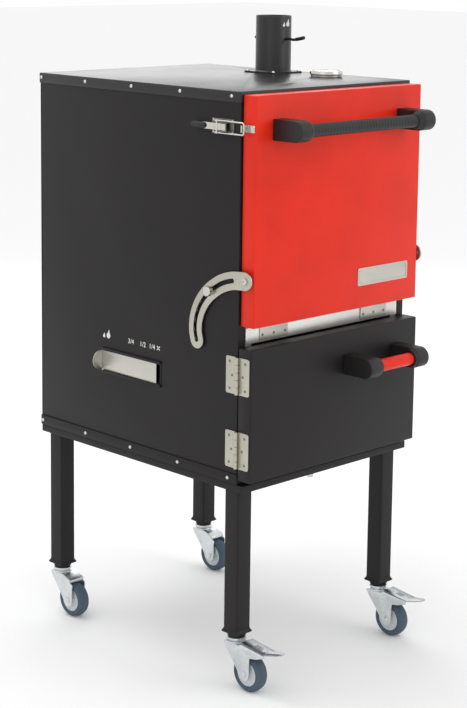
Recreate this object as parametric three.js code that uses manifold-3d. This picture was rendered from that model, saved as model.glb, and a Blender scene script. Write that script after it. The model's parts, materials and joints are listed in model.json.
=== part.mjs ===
// Upright charcoal oven on casters: insulated steel cabinet, drop-down oven door held by slotted stays,
// side-hinged fire door, sliding air intake, flue with butterfly damper, thermometer and toggle latch.
// Millimetres, +Z up, the doors face -Y. The origin is the middle of the outer box, on the floor.
import * as THREE from 'three';
import { mergeVertices } from 'three/addons/utils/BufferGeometryUtils.js';
import Module from 'manifold-3d';

const wasm = await Module();
wasm.setup();

// ---------------------------------------------------------------- driving dimensions
const GAP = 0.3; // between pieces that touch
const cabinet = { width: 510, depth: 630, height: 800, sheet: 2, lip: 22, frontReturn: 22 };
const insulation = { thickness: 36 };
const liner = { sheet: 1.5, ledgeWidth: 14, ledgeThickness: 3, grateLevel: 128, rackLevel: 400 };
const rail = { bottom: 288, top: 322, depth: 28 };
const leg = { size: 40, wall: 2, corner: 4, length: 306, sideInset: 31, frontInset: 24, backInset: 34 };
const legFrame = { height: 12, width: 30, overhang: 2 };
const foot = { flare: 47, flareHeight: 6, plate: 2, bossHeight: 8, bossTop: 21, bossBottom: 18 };
const caster = { trail: 42, wheelRadius: 40, wheelWidth: 30, hubWidth: 34, headRadius: 21, drop: 68.7 };
const fork = { inside: 35, plate: 2.5, endRadius: 14, axleRadius: 4, pinRadius: 2, pinAlong: 47, pinDrop: 19 };
const pedal = { root: 30, bend: 95, tip: 133, tipWidth: 22, thickness: 2, depth: 3.5, slope: 6.5, lift: 8 };
const doorGap = 4; // cabinet front to the doors' back
const doorSize = { thickness: 35, sheet: 1.5, insert: 10 };
const upperDoorFit = { sideMargin: 5, aboveRail: 7, belowRoof: 6, insertMargin: 42 };
const lowerDoorFit = { sideMargin: 0, aboveBase: 10, belowRail: 3, insertMargin: 46 };
const handle = { standOff: 80, height: 43, blockWidth: 34, tubeRadius: 13.5, tubeWall: 2 };
const upperHandleFit = { span: 410, belowDoorTop: 69, collar: 12 };
const lowerHandleFit = { span: 185, belowDoorTop: 70, collar: 7, centreFromEdge: 142.5 };
const hinge = { knuckleRadius: 3.5, pinRadius: 1.6, leafThickness: 2, knuckles: 5 };
const upperHinge = { length: 82, leafDepth: 33, doorLeafDepth: 27, fromEdge: 101 };
const sideHinge = { length: 77, leafDepth: 33, knuckleRadius: 4.2, aboveDoorBottom: 64, belowDoorTop: 57 };
const stay = { thickness: 3, halfWidth: 18.5, slotHalfWidth: 4.6, ratio: -0.195, openAngle: 90, clear: 4 };
const stayPivot = { behindFront: -24, aboveAxis: 99.8 };
const stayPin = { behindFront: 71.5, aboveAxis: 68.3, radius: 3 };
const staySlotStart = { alongY: 34.7, alongZ: -3.2 };
const stayShoulder = { alongY: 66.5, alongZ: -13.6 };
const thumbScrew = { headRadius: 11, headLength: 12, flangeRadius: 8, collarRadius: 7 };
const latch = { belowRoof: 72, width: 31, pivotBehindFront: 35, pivotOut: 11, throw: 21, wire: 1.8, halfSpan: 12 };
const latchLever = { halfWidth: 7, gripStart: 87, gripEnd: 128, gripRadius: 7 };
const air = { centreY: 8, windowLength: 184, windowHeight: 43, level: 188.5 };
const airPlate = { length: 174, height: 49, thickness: 1.5 };
const airRail = { lip: 3, frame: 1 };
const flue = { fromSide: 77, y: 20, radius: 40, wall: 1.5, aboveRoof: 128, flange: 94, flangeThickness: 3 };
const damper = { aboveRoof: 77, rodRadius: 3, clearance: 1, frontReach: 54, backReach: 17, plate: 1.5 };
const thermometer = { fromSide: 77, y: -143, bezelRadius: 36.5, caseRadius: 34, dialRadius: 32, stemRadius: 4,
  stem: 110, coldAngle: 135 };
const grate = { thickness: 8, slots: 15, slotWidth: 9, rib: 14 };
const rack = { bars: 17, barRadius: 2.5, frameRadius: 4 };
const pan = { height: 55, sheet: 1.5, aboveLiner: 5.9, margin: 8 };

// ---------------------------------------------------------------- derived places
const halfWidth = cabinet.width / 2;
const front = -cabinet.depth / 2;
const back = cabinet.depth / 2;
const doorBack = front - doorGap;
const upperDoor = {
  ...doorSize,
  width: cabinet.width - 2 * upperDoorFit.sideMargin,
  bottom: rail.top + upperDoorFit.aboveRail,
  top: cabinet.height - upperDoorFit.belowRoof,
  insertMargin: upperDoorFit.insertMargin,
};
const lowerDoor = {
  ...doorSize,
  width: cabinet.width - 2 * lowerDoorFit.sideMargin,
  bottom: lowerDoorFit.aboveBase,
  top: rail.bottom - lowerDoorFit.belowRail,
  insertMargin: lowerDoorFit.insertMargin,
};
const upperFront = doorBack - upperDoor.thickness;
const lowerFront = doorBack - lowerDoor.thickness;
const upperHandle = { ...upperHandleFit, level: upperDoor.top - upperHandleFit.belowDoorTop, centre: 0 };
const lowerHandle = {
  ...lowerHandleFit,
  level: lowerDoor.top - lowerHandleFit.belowDoorTop,
  centre: lowerDoor.width / 2 - lowerHandleFit.centreFromEdge,
};
const upperHingeX = halfWidth - upperHinge.fromEdge;
const sideHingeLevels = {
  bottom: lowerDoor.bottom + sideHinge.aboveDoorBottom,
  top: lowerDoor.top - sideHinge.belowDoorTop,
};
const latchLevel = cabinet.height - latch.belowRoof;
const flueX = halfWidth - flue.fromSide;
const thermometerX = halfWidth - thermometer.fromSide;
const legX = halfWidth - leg.sideInset;
const linerHalf = halfWidth - cabinet.sheet - GAP - insulation.thickness - GAP;
const linerBack = back - cabinet.sheet - GAP - insulation.thickness - GAP;
const linerBottom = cabinet.sheet + GAP + insulation.thickness + GAP;
const linerTop = cabinet.height - cabinet.sheet - GAP - insulation.thickness - GAP;
const linerFront = front + cabinet.sheet + GAP;
const panBottom = linerBottom + liner.sheet + pan.aboveLiner;
const stayPlane = halfWidth + stay.clear; // inner face of the stays
const doorAxis = {
  y: front - GAP - hinge.knuckleRadius,
  z: upperDoor.bottom - GAP - hinge.knuckleRadius,
};
const sideAxis = { x: -halfWidth - GAP - sideHinge.knuckleRadius, y: front - doorGap / 2 };
const legTop = -GAP - legFrame.height - GAP;
const legBottom = legTop - leg.length;
const footBottom = legBottom - foot.flareHeight - foot.plate - foot.bossHeight;
const axleLevel = footBottom - GAP - caster.drop;
const floorLevel = axleLevel - caster.wheelRadius;
const legFrontY = front + leg.frontInset;
const legBackY = back - leg.backInset;

// ---------------------------------------------------------------- colours
function finish(color, roughness, metalness) {
  return new THREE.MeshStandardMaterial({ color, roughness, metalness });
}
const charcoalPaint = finish(0x363435, 0.55, 0.2);
const redPaint = finish(0xe13d31, 0.4, 0.1);
const stainless = finish(0xc9c9c4, 0.3, 0.9);
const zinc = finish(0xd4d8d8, 0.35, 0.8);
const blackGrip = finish(0x232224, 0.6, 0);
const greyRubber = finish(0x4a5763, 0.7, 0);
const castIron = finish(0x2a2a2b, 0.8, 0.5);
const mineralWool = finish(0xb9ab86, 0.95, 0);
const dialWhite = finish(0xd03028, 0.5, 0);

// ---------------------------------------------------------------- shape helpers
function toSolid(geometry) {
  const bare = geometry.clone();
  bare.deleteAttribute('normal');
  bare.deleteAttribute('uv');
  const merged = mergeVertices(bare, 1e-3);
  const vertProperties = new Float32Array(merged.getAttribute('position').array);
  const triVerts = new Uint32Array(merged.getIndex().array);
  return new wasm.Manifold(new wasm.Mesh({ numProp: 3, vertProperties, triVerts }));
}

function toGeometry(solid) {
  const mesh = solid.getMesh();
  const geometry = new THREE.BufferGeometry();
  geometry.setAttribute('position', new THREE.BufferAttribute(mesh.vertProperties, 3));
  geometry.setIndex(new THREE.BufferAttribute(mesh.triVerts, 1));
  geometry.computeVertexNormals();
  return geometry;
}

function join(...pieces) {
  return toGeometry(pieces.map(toSolid).reduce((sum, piece) => sum.add(piece)));
}

function cut(body, ...tools) {
  return toGeometry(tools.map(toSolid).reduce((rest, tool) => rest.subtract(tool), toSolid(body)));
}

function common(a, b) {
  return toGeometry(toSolid(a).intersect(toSolid(b)));
}

// A box from its low and high corners.
function box(x0, y0, z0, x1, y1, z1) {
  const geometry = new THREE.BoxGeometry(x1 - x0, y1 - y0, z1 - z0);
  return geometry.translate((x0 + x1) / 2, (y0 + y1) / 2, (z0 + z1) / 2);
}

// A round bar along one axis, from one value to another, through (a, b) on the other two axes in order.
function bar(axis, radius, from, to, a, b, sides = 16) {
  const geometry = new THREE.CylinderGeometry(radius, radius, to - from, sides);
  const middle = (from + to) / 2;
  if (axis === 'x') return geometry.rotateZ(-Math.PI / 2).translate(middle, a, b);
  if (axis === 'y') return geometry.translate(a, middle, b);
  return geometry.rotateX(Math.PI / 2).translate(a, b, middle);
}

// A turned piece about Z: the profile is [radius, height] pairs, and closes on the axis or on itself.
function turned(profile, sides = 32) {
  const points = profile.map(([radius, height]) => new THREE.Vector2(radius, height));
  return new THREE.LatheGeometry(points, sides).rotateX(Math.PI / 2);
}

const directions = {
  x: new THREE.Vector3(1, 0, 0),
  y: new THREE.Vector3(0, 1, 0),
  z: new THREE.Vector3(0, 0, 1),
};

function extruded(shape, depth, curveSegments = 8) {
  return new THREE.ExtrudeGeometry(shape, { depth, bevelEnabled: false, curveSegments });
}

// A profile drawn in Y and Z, pushed along X from x0.
function alongX(shape, x0, length, curveSegments) {
  const basis = new THREE.Matrix4().makeBasis(directions.y, directions.z, directions.x);
  return extruded(shape, length, curveSegments).applyMatrix4(basis).translate(x0, 0, 0);
}

// A profile drawn in X and Y, pushed along Z from z0.
function alongZ(shape, z0, length, curveSegments) {
  return extruded(shape, length, curveSegments).translate(0, 0, z0);
}

function polygon(points) {
  return new THREE.Shape(points.map(([a, b]) => new THREE.Vector2(a, b)));
}

function roundedRectangle(a0, b0, a1, b1, radius) {
  const shape = new THREE.Shape();
  shape.absarc(a1 - radius, b0 + radius, radius, -Math.PI / 2, 0, false);
  shape.absarc(a1 - radius, b1 - radius, radius, 0, Math.PI / 2, false);
  shape.absarc(a0 + radius, b1 - radius, radius, Math.PI / 2, Math.PI, false);
  shape.absarc(a0 + radius, b0 + radius, radius, Math.PI, Math.PI * 1.5, false);
  shape.closePath();
  return shape;
}

// A round wire along a smooth curve through the points.
function wire(points, radius, steps, sides = 8) {
  const curve = new THREE.CatmullRomCurve3(points.map((p) => new THREE.Vector3(...p)));
  const section = new THREE.Shape();
  section.absarc(0, 0, radius, 0, Math.PI * 2, false);
  return new THREE.ExtrudeGeometry(section, { steps, extrudePath: curve, curveSegments: sides });
}

const oven = new THREE.Group();

function add(name, geometry, material, parent = oven) {
  const mesh = new THREE.Mesh(geometry, material);
  mesh.name = name;
  parent.add(mesh);
  return mesh;
}

// ---------------------------------------------------------------- cabinet skin
function capGeometry(sheetLow, lipLow, lipHigh) {
  const reach = cabinet.sheet;
  const outer = box(-halfWidth - reach, front - reach, lipLow, halfWidth + reach, back + reach, lipHigh);
  const inset = GAP;
  const hollowLow = sheetLow ? lipLow + cabinet.sheet : lipLow - 1;
  const hollowHigh = sheetLow ? lipHigh + 1 : lipHigh - cabinet.sheet;
  const inner = box(-halfWidth - inset, front - inset, hollowLow, halfWidth + inset, back + inset, hollowHigh);
  return cut(outer, inner);
}

function panelGeometry(side) {
  const low = cabinet.sheet + GAP;
  const high = cabinet.height - cabinet.sheet - GAP;
  const backEdge = back - cabinet.sheet - GAP;
  const outline = polygon([
    [side * halfWidth, front],
    [side * halfWidth, backEdge],
    [side * (halfWidth - cabinet.sheet), backEdge],
    [side * (halfWidth - cabinet.sheet), front + cabinet.sheet],
    [side * (halfWidth - cabinet.frontReturn), front + cabinet.sheet],
    [side * (halfWidth - cabinet.frontReturn), front],
  ]);
  return alongZ(outline, low, high - low);
}

function airWindow(x0, x1, grow) {
  const halfLength = air.windowLength / 2 + grow;
  const halfHeight = air.windowHeight / 2 + grow;
  return box(x0, air.centreY - halfLength, air.level - halfHeight, x1, air.centreY + halfLength,
    air.level + halfHeight);
}

const flueTool = (radius, low, high) => bar('z', radius, low, high, flueX, flue.y, 24);
const stemTool = (radius, low, high) => bar('z', radius, low, high, thermometerX, thermometer.y, 12);

add('left_panel', cut(panelGeometry(-1), airWindow(-halfWidth - 5, -halfWidth + 5, 0)), charcoalPaint);
add('right_panel', panelGeometry(1), charcoalPaint);
add('back_panel', box(-halfWidth, back - cabinet.sheet, cabinet.sheet + GAP, halfWidth, back,
  cabinet.height - cabinet.sheet - GAP), charcoalPaint);
add('base_cap', capGeometry(true, 0, cabinet.lip), charcoalPaint);
add('roof_cap', cut(
  capGeometry(false, cabinet.height - cabinet.lip, cabinet.height),
  flueTool(flue.radius + GAP, cabinet.height - 5, cabinet.height + 5),
  stemTool(thermometer.stemRadius + GAP, cabinet.height - 5, cabinet.height + 5),
), charcoalPaint);

// ---------------------------------------------------------------- liner and insulation
function linerGeometry() {
  const flangeHalf = halfWidth - cabinet.sheet - GAP;
  const low = cabinet.sheet + GAP;
  const high = cabinet.height - cabinet.sheet - GAP;
  const tub = box(-linerHalf, linerFront, linerBottom, linerHalf, linerBack, linerTop);
  const flange = box(-flangeHalf, linerFront, low, flangeHalf, linerFront + liner.sheet, high);
  const inside = liner.sheet;
  const hollow = box(-linerHalf + inside, linerFront - 5, linerBottom + inside, linerHalf - inside,
    linerBack - inside, linerTop - inside);
  const shell = cut(join(tub, flange), hollow, airWindow(-halfWidth, 0, 0),
    flueTool(flue.radius - flue.wall, linerTop - 5, linerTop + 5),
    stemTool(thermometer.stemRadius + GAP, linerTop - 5, linerTop + 5));
  const ledges = [];
  for (const side of [-1, 1]) {
    for (const level of [liner.grateLevel, liner.rackLevel]) {
      const wall = side * (linerHalf - inside / 2);
      const edge = side * (linerHalf - inside - liner.ledgeWidth);
      ledges.push(box(Math.min(wall, edge), linerFront + 40, level - liner.ledgeThickness,
        Math.max(wall, edge), linerBack - inside - 20, level));
    }
  }
  return join(shell, ...ledges);
}

function insulationGeometry() {
  const outerHalf = halfWidth - cabinet.sheet - GAP;
  const blanketFront = linerFront + liner.sheet + GAP;
  const outer = box(-outerHalf, blanketFront, cabinet.sheet + GAP, outerHalf, back - cabinet.sheet - GAP,
    cabinet.height - cabinet.sheet - GAP);
  const hollow = box(-linerHalf - GAP, blanketFront - 5, linerBottom - GAP, linerHalf + GAP,
    linerBack + GAP, linerTop + GAP);
  return cut(outer, hollow, airWindow(-halfWidth - 5, 0, 1), flueTool(flue.radius + 1, linerTop, 900),
    stemTool(thermometer.stemRadius + 2, linerTop, 900));
}

add('liner', linerGeometry(), stainless);
add('insulation', insulationGeometry(), mineralWool);

// ---------------------------------------------------------------- crossbar between the doors
const openingHalf = halfWidth - cabinet.frontReturn - GAP;
const railInside = linerHalf - liner.sheet - GAP;
add('hinge_rail', join(
  box(-openingHalf, front, rail.bottom, openingHalf, front + cabinet.sheet, rail.top),
  box(-railInside, front + 1, rail.top - 2, railInside, front + rail.depth, rail.top),
  box(-railInside, front + 1, rail.bottom, railInside, front + rail.depth, rail.bottom + 2),
), stainless);

// ---------------------------------------------------------------- inside: grate, rack and ash pan
const shelfHalf = linerHalf - liner.sheet - 2;
const shelfFront = linerFront + 34;
const shelfBack = linerBack - liner.sheet - 6;

function grateGeometry() {
  const low = liner.grateLevel + GAP;
  const plate = box(-shelfHalf, shelfFront, low, shelfHalf, shelfBack, low + grate.thickness);
  const tools = [];
  const step = (2 * shelfHalf - 2 * grate.rib) / grate.slots;
  const middle = (shelfFront + shelfBack) / 2;
  for (let i = 0; i < grate.slots; i += 1) {
    const centre = -shelfHalf + grate.rib + step * (i + 0.5);
    const spans = [[shelfFront + grate.rib, middle - grate.rib / 2], [middle + grate.rib / 2,
      shelfBack - grate.rib]];
    for (const [from, to] of spans) {
      tools.push(box(centre - grate.slotWidth / 2, from, low - 1, centre + grate.slotWidth / 2, to,
        low + grate.thickness + 1));
    }
  }
  return cut(plate, ...tools);
}

function rackGeometry() {
  const level = liner.rackLevel + GAP + rack.frameRadius;
  const bars = [];
  const half = shelfHalf - rack.frameRadius;
  for (const x of [-half, half]) bars.push(bar('y', rack.frameRadius, shelfFront, shelfBack, x, level, 6));
  for (const y of [shelfFront + 8, shelfBack - 8]) bars.push(bar('x', rack.frameRadius, -half, half, y, level, 6));
  for (let i = 1; i <= rack.bars; i += 1) {
    const x = -half + (2 * half * i) / (rack.bars + 1);
    bars.push(bar('y', rack.barRadius, shelfFront + 8, shelfBack - 8, x, level + 1, 4));
  }
  return join(...bars);
}

function panGeometry() {
  const half = shelfHalf - pan.margin;
  const outer = box(-half, shelfFront, panBottom, half, shelfBack, panBottom + pan.height);
  const inner = box(-half + pan.sheet, shelfFront + pan.sheet, panBottom + pan.sheet, half - pan.sheet,
    shelfBack - pan.sheet, panBottom + pan.height + 5);
  const pull = box(-60, shelfFront - 14, panBottom + pan.height - 18, 60, shelfFront + 1,
    panBottom + pan.height - 15);
  return join(cut(outer, inner), pull);
}

add('charcoal_grate', grateGeometry(), castIron);
add('grill_rack', rackGeometry(), stainless);
add('ash_pan', panGeometry(), stainless);

// ---------------------------------------------------------------- stand
function legFrameGeometry() {
  const outer = [legX + leg.size / 2 + legFrame.overhang, legFrontY - leg.size / 2 - legFrame.overhang,
    legBackY + leg.size / 2 + legFrame.overhang];
  const body = box(-outer[0], outer[1], -GAP - legFrame.height, outer[0], outer[2], -GAP);
  const hole = box(-outer[0] + legFrame.width, outer[1] + legFrame.width, -50, outer[0] - legFrame.width,
    outer[2] - legFrame.width, 10);
  return cut(body, hole);
}

// Square tube, flared foot plate and a round boss for the caster.
function legGeometry() {
  const half = leg.size / 2;
  const tubeShape = roundedRectangle(-half, -half, half, half, leg.corner);
  const inside = half - leg.wall;
  tubeShape.holes.push(roundedRectangle(-inside, -inside, inside, inside, leg.corner - leg.wall / 2));
  const tube = alongZ(tubeShape, legBottom, leg.length, 2);
  const diagonal = Math.SQRT1_2;
  const flare = new THREE.CylinderGeometry(leg.size * diagonal - 1, foot.flare * diagonal, foot.flareHeight, 4);
  flare.rotateY(Math.PI / 4).rotateX(Math.PI / 2).translate(0, 0, legBottom - foot.flareHeight / 2);
  const plateLow = legBottom - foot.flareHeight - foot.plate;
  const plate = box(-foot.flare / 2, -foot.flare / 2, plateLow, foot.flare / 2, foot.flare / 2,
    legBottom - foot.flareHeight + 0.01);
  const boss = new THREE.CylinderGeometry(foot.bossTop, foot.bossBottom, foot.bossHeight, 14);
  boss.rotateX(Math.PI / 2).translate(0, 0, plateLow - foot.bossHeight / 2 + 0.01);
  return join(tube, flare, plate, boss);
}

const forkTop = footBottom - GAP;
const pedalPin = { y: -fork.pinAlong, z: forkTop - fork.pinDrop };

// Side plate of a fork: a broad leg down to the axle, and forward either an arm for the pedal or a short lip.
function forkPlate(braked) {
  const axleY = -caster.trail;
  const outline = new THREE.Shape();
  outline.moveTo(18, forkTop - 12);
  outline.lineTo(-24, forkTop - 12);
  const forward = braked
    ? [[-32, forkTop - 6], [-97, forkTop - 12], [-99, forkTop - 17], [-76, forkTop - 27]]
    : [[-48, forkTop - 20], [-50, forkTop - 26]];
  for (const [y, z] of forward) outline.lineTo(y, z);
  outline.lineTo(axleY - fork.endRadius - 1, forkTop - 29);
  outline.lineTo(axleY - fork.endRadius, axleLevel);
  outline.absarc(axleY, axleLevel, fork.endRadius, Math.PI, Math.PI * 1.85, false);
  outline.lineTo(-8, forkTop - 46);
  outline.lineTo(14, forkTop - 18);
  return outline;
}

// Swivel head, hood, two side plates and the axle bolt, drawn about the leg's axis.
function forkGeometry(braked) {
  const r = caster.headRadius;
  const head = turned([[0, forkTop - 13], [r + 1, forkTop - 13], [r + 1, forkTop - 9], [r - 3, forkTop - 7.5],
    [r - 3, forkTop - 6], [r - 1, forkTop - 5], [r - 1, forkTop], [0, forkTop]], 14);
  const halfOuter = fork.inside / 2 + fork.plate;
  const axleY = -caster.trail;
  const lip = braked ? [[-24, forkTop - 10], [-24, forkTop - 13]] : [[-24, forkTop - 10],
    [-48, forkTop - 18], [-50, forkTop - 26], [-47.5, forkTop - 26], [-46, forkTop - 20.5], [-24, forkTop - 13]];
  const hoodShape = polygon([[18, forkTop - 10], ...lip, [18, forkTop - 13]]);
  const pieces = [head, alongX(hoodShape, -halfOuter, 2 * halfOuter)];
  for (const x0 of [-halfOuter, fork.inside / 2]) pieces.push(alongX(forkPlate(braked), x0, fork.plate, 5));
  pieces.push(bar('x', fork.axleRadius, -halfOuter - 2, halfOuter + 2, axleY, axleLevel, 8));
  for (const x0 of [-halfOuter - 4, halfOuter - 0.5]) {
    pieces.push(bar('x', 7, x0, x0 + 4.5, axleY, axleLevel, 6));
  }
  if (braked) {
    pieces.push(bar('x', fork.pinRadius, -halfOuter - 1.5, halfOuter + 1.5, pedalPin.y, pedalPin.z, 8));
  }
  return join(...pieces);
}

// Tread between the fork's arms, with a turned-up tip and two cheeks on the pivot pin.
function pedalGeometry() {
  const half = fork.inside / 2 - GAP - 0.3;
  const drop = Math.tan(THREE.MathUtils.degToRad(pedal.slope));
  const rootZ = forkTop - pedal.depth;
  const bendZ = rootZ - drop * (pedal.bend - pedal.root);
  const t = pedal.thickness;
  const side = polygon([[-pedal.root, rootZ], [-pedal.bend, bendZ], [-pedal.tip, bendZ + pedal.lift],
    [-pedal.tip, bendZ + pedal.lift - t], [-pedal.bend, bendZ - t], [-pedal.root, rootZ - t]]);
  const tipHalf = pedal.tipWidth / 2;
  const plan = polygon([[-half, 0], [-half, -pedal.bend], [-tipHalf, -pedal.tip + 6],
    [-tipHalf + 6, -pedal.tip], [tipHalf - 6, -pedal.tip], [tipHalf, -pedal.tip + 6], [half, -pedal.bend],
    [half, 0]]);
  const tread = common(alongX(side, -half, 2 * half), alongZ(plan, rootZ - 60, 120));
  const cheekShape = polygon([[-pedal.root, rootZ - 0.5], [-pedal.bend, bendZ - 0.5],
    [-pedal.bend, bendZ - 8], [pedalPin.y - 6, pedalPin.z - 4], [pedalPin.y + 4, pedalPin.z - 4]]);
  const cheeks = [-half, half - 1.8].map((x0) => alongX(cheekShape, x0, 1.8));
  return cut(join(tread, ...cheeks), bar('x', fork.pinRadius + GAP, -40, 40, pedalPin.y, pedalPin.z, 8));
}

// Rubber tyre on a disc hub, one turned ring about the axle.
function wheelGeometry() {
  const w = caster.wheelWidth / 2;
  const h = caster.hubWidth / 2 - 0.4;
  const r = caster.wheelRadius;
  const bore = fork.axleRadius + GAP;
  const profile = [[bore, -h], [9, -h], [10, -w + 3], [26, -w + 2], [r - 8, -w], [r - 1, -w + 6],
    [r - 1, w - 6], [r - 8, w], [26, w - 2], [10, w - 3], [9, h], [bore, h], [bore, -h]];
  return turned(profile, 24).rotateY(Math.PI / 2);
}

add('leg_frame', legFrameGeometry(), charcoalPaint);
for (const [endName, y, braked] of [['front', legFrontY, true], ['back', legBackY, false]]) {
  for (const [sideName, side] of [['left', -1], ['right', 1]]) {
    const corner = new THREE.Group();
    corner.position.set(side * legX, y, 0);
    oven.add(corner);
    add(`leg_${endName}_${sideName}`, legGeometry(), charcoalPaint, corner);
    add(`caster_fork_${endName}_${sideName}`, forkGeometry(braked), zinc, corner);
    const wheel = add(`wheel_${endName}_${sideName}`, wheelGeometry(), greyRubber, corner);
    wheel.position.set(0, -caster.trail, axleLevel);
    if (braked) add(`brake_pedal_${sideName}`, pedalGeometry(), zinc, corner);
  }
}

// ---------------------------------------------------------------- doors
// Folded pan, open at the back, and the inner panel that closes it with a raised centre.
function doorShell(door) {
  const half = door.width / 2;
  const faceY = doorBack - door.thickness;
  const s = door.sheet;
  return cut(box(-half, faceY, door.bottom, half, doorBack, door.top),
    box(-half + s, faceY + s, door.bottom + s, half - s, doorBack + 5, door.top - s));
}

function doorInner(door) {
  const half = door.width / 2 - door.sheet - GAP;
  const low = door.bottom + door.sheet + GAP;
  const high = door.top - door.sheet - GAP;
  const s = door.sheet;
  const m = door.insertMargin;
  const plate = box(-half, doorBack - s, low, half, doorBack, high);
  const raised = box(-half + m, doorBack - 1, low + m, half - m, doorBack + door.insert, high - m);
  const hollow = box(-half + m + s, doorBack - 5, low + m + s, half - m - s, doorBack + door.insert - s,
    high - m - s);
  return cut(join(plate, raised), hollow);
}

add('upper_door_shell', doorShell(upperDoor), redPaint);
add('upper_door_inner', doorInner(upperDoor), stainless);
add('lower_door_shell', doorShell(lowerDoor), charcoalPaint);
add('lower_door_inner', doorInner(lowerDoor), stainless);

// ---------------------------------------------------------------- handles
// A block with a round nose and a short collar that takes the tube; side is the way the collar points.
function handleBlock(doorFace, level, outerX, side, collar) {
  const root = doorFace - GAP;
  const radius = handle.height / 2;
  const noseY = root - handle.standOff + radius;
  const shape = new THREE.Shape();
  shape.moveTo(root, level - radius);
  shape.lineTo(root, level + radius);
  shape.absarc(noseY, level, radius, Math.PI / 2, Math.PI * 1.5, false);
  shape.closePath();
  const x0 = side > 0 ? outerX : outerX - handle.blockWidth;
  const block = alongX(shape, x0, handle.blockWidth, 8);
  const inner = outerX + side * handle.blockWidth;
  const cone = new THREE.CylinderGeometry(handle.tubeRadius + 1, radius - 1, collar + 1, 16);
  cone.rotateZ(side > 0 ? -Math.PI / 2 : Math.PI / 2);
  cone.translate(inner + side * (collar / 2 - 0.5), noseY, level);
  return join(block, cone);
}

function handleTube(doorFace, level, from, to) {
  const noseY = doorFace - GAP - handle.standOff + handle.height / 2;
  return cut(bar('x', handle.tubeRadius, from, to, noseY, level, 18),
    bar('x', handle.tubeRadius - handle.tubeWall, from - 1, to + 1, noseY, level, 18));
}

function addHandle(prefix, tubeName, place, doorFace, tubeMaterial) {
  const left = place.centre - place.span / 2;
  const right = place.centre + place.span / 2;
  const used = handle.blockWidth + place.collar + GAP;
  add(`${prefix}_bracket_left`, handleBlock(doorFace, place.level, left, 1, place.collar), blackGrip);
  add(`${prefix}_bracket_right`, handleBlock(doorFace, place.level, right, -1, place.collar), blackGrip);
  add(tubeName, handleTube(doorFace, place.level, left + used, right - used), tubeMaterial);
}

addHandle('upper_handle', 'upper_handle_tube', upperHandle, upperFront, blackGrip);
addHandle('lower_handle', 'lower_handle_grip', lowerHandle, lowerFront, redPaint);

// ---------------------------------------------------------------- hinges
// One leaf with its share of the knuckles. The leaf runs along +X, the barrel along Z, and the mounting
// face is the plane y = -radius. The fixed leaf holds the pin.
function hingeLeaf(length, depth, radius, fixed) {
  const pieces = [];
  const tools = [];
  const step = length / hinge.knuckles;
  const leafStart = radius + GAP;
  pieces.push(box(leafStart, -radius, -length / 2, depth, -radius + hinge.leafThickness, length / 2));
  for (let i = 0; i < hinge.knuckles; i += 1) {
    const mine = (i % 2 === 0) === fixed;
    if (!mine) continue;
    const low = -length / 2 + i * step + (i === 0 ? 0 : GAP / 2);
    const high = -length / 2 + (i + 1) * step - (i === hinge.knuckles - 1 ? 0 : GAP / 2);
    pieces.push(bar('z', radius, low, high, 0, 0, 10));
    pieces.push(box(0, -radius, low, leafStart + 1, -radius + hinge.leafThickness, high));
    if (!fixed) tools.push(bar('z', hinge.pinRadius + GAP, low - 1, high + 1, 0, 0, 6));
  }
  if (fixed) pieces.push(bar('z', hinge.pinRadius, -length / 2, length / 2, 0, 0, 6));
  const leaf = join(...pieces);
  return fixed ? leaf : cut(leaf, ...tools);
}

function placed(geometry, xAxis, yAxis, zAxis, position) {
  const basis = new THREE.Matrix4().makeBasis(xAxis, yAxis, zAxis);
  return geometry.applyMatrix4(basis).translate(...position);
}

const flip = (v) => v.clone().negate();
for (const [sideName, side] of [['left', -1], ['right', 1]]) {
  const at = [side * upperHingeX, doorAxis.y, doorAxis.z];
  const fixedLeaf = hingeLeaf(upperHinge.length, upperHinge.leafDepth, hinge.knuckleRadius, true);
  const doorLeaf = hingeLeaf(upperHinge.length, upperHinge.doorLeafDepth, hinge.knuckleRadius, false);
  add(`upper_hinge_leaf_${sideName}`,
    placed(fixedLeaf, flip(directions.z), flip(directions.y), flip(directions.x), at), stainless);
  add(`upper_hinge_door_leaf_${sideName}`,
    placed(doorLeaf, flip(directions.y), flip(directions.z), directions.x, at), stainless);
}
for (const [levelName, level] of Object.entries(sideHingeLevels)) {
  const at = [sideAxis.x, sideAxis.y, level];
  const fixedLeaf = hingeLeaf(sideHinge.length, sideHinge.leafDepth, sideHinge.knuckleRadius, true);
  const doorLeaf = hingeLeaf(sideHinge.length, sideHinge.leafDepth, sideHinge.knuckleRadius, false);
  add(`side_hinge_leaf_${levelName}`, placed(fixedLeaf, directions.y, flip(directions.x), directions.z, at),
    stainless);
  add(`side_hinge_door_leaf_${levelName}`,
    placed(doorLeaf, flip(directions.y), flip(directions.x), flip(directions.z), at), stainless);
}

// ---------------------------------------------------------------- door stays
const pivot = new THREE.Vector2(front + stayPivot.behindFront, doorAxis.z + stayPivot.aboveAxis);
const pin = new THREE.Vector2(front + stayPin.behindFront, doorAxis.z + stayPin.aboveAxis);
const axisPoint = new THREE.Vector2(doorAxis.y, doorAxis.z);

// Where the fixed pin lies in the stay, at rest orientation, when the door is open by an angle in degrees.
function pinInStay(angle) {
  const turn = THREE.MathUtils.degToRad(angle);
  const moved = pivot.clone().rotateAround(axisPoint, turn);
  const offset = pin.clone().sub(moved);
  offset.rotateAround(new THREE.Vector2(0, 0), -turn * (1 + stay.ratio));
  return offset.add(pivot);
}

function spine() {
  const points = [pivot.clone()];
  for (const place of [staySlotStart, stayShoulder]) {
    points.push(pivot.clone().add(new THREE.Vector2(place.alongY, place.alongZ)));
  }
  for (let angle = 0; angle <= stay.openAngle; angle += stay.openAngle / 6) points.push(pinInStay(angle));
  return new THREE.SplineCurve(points);
}

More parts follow.
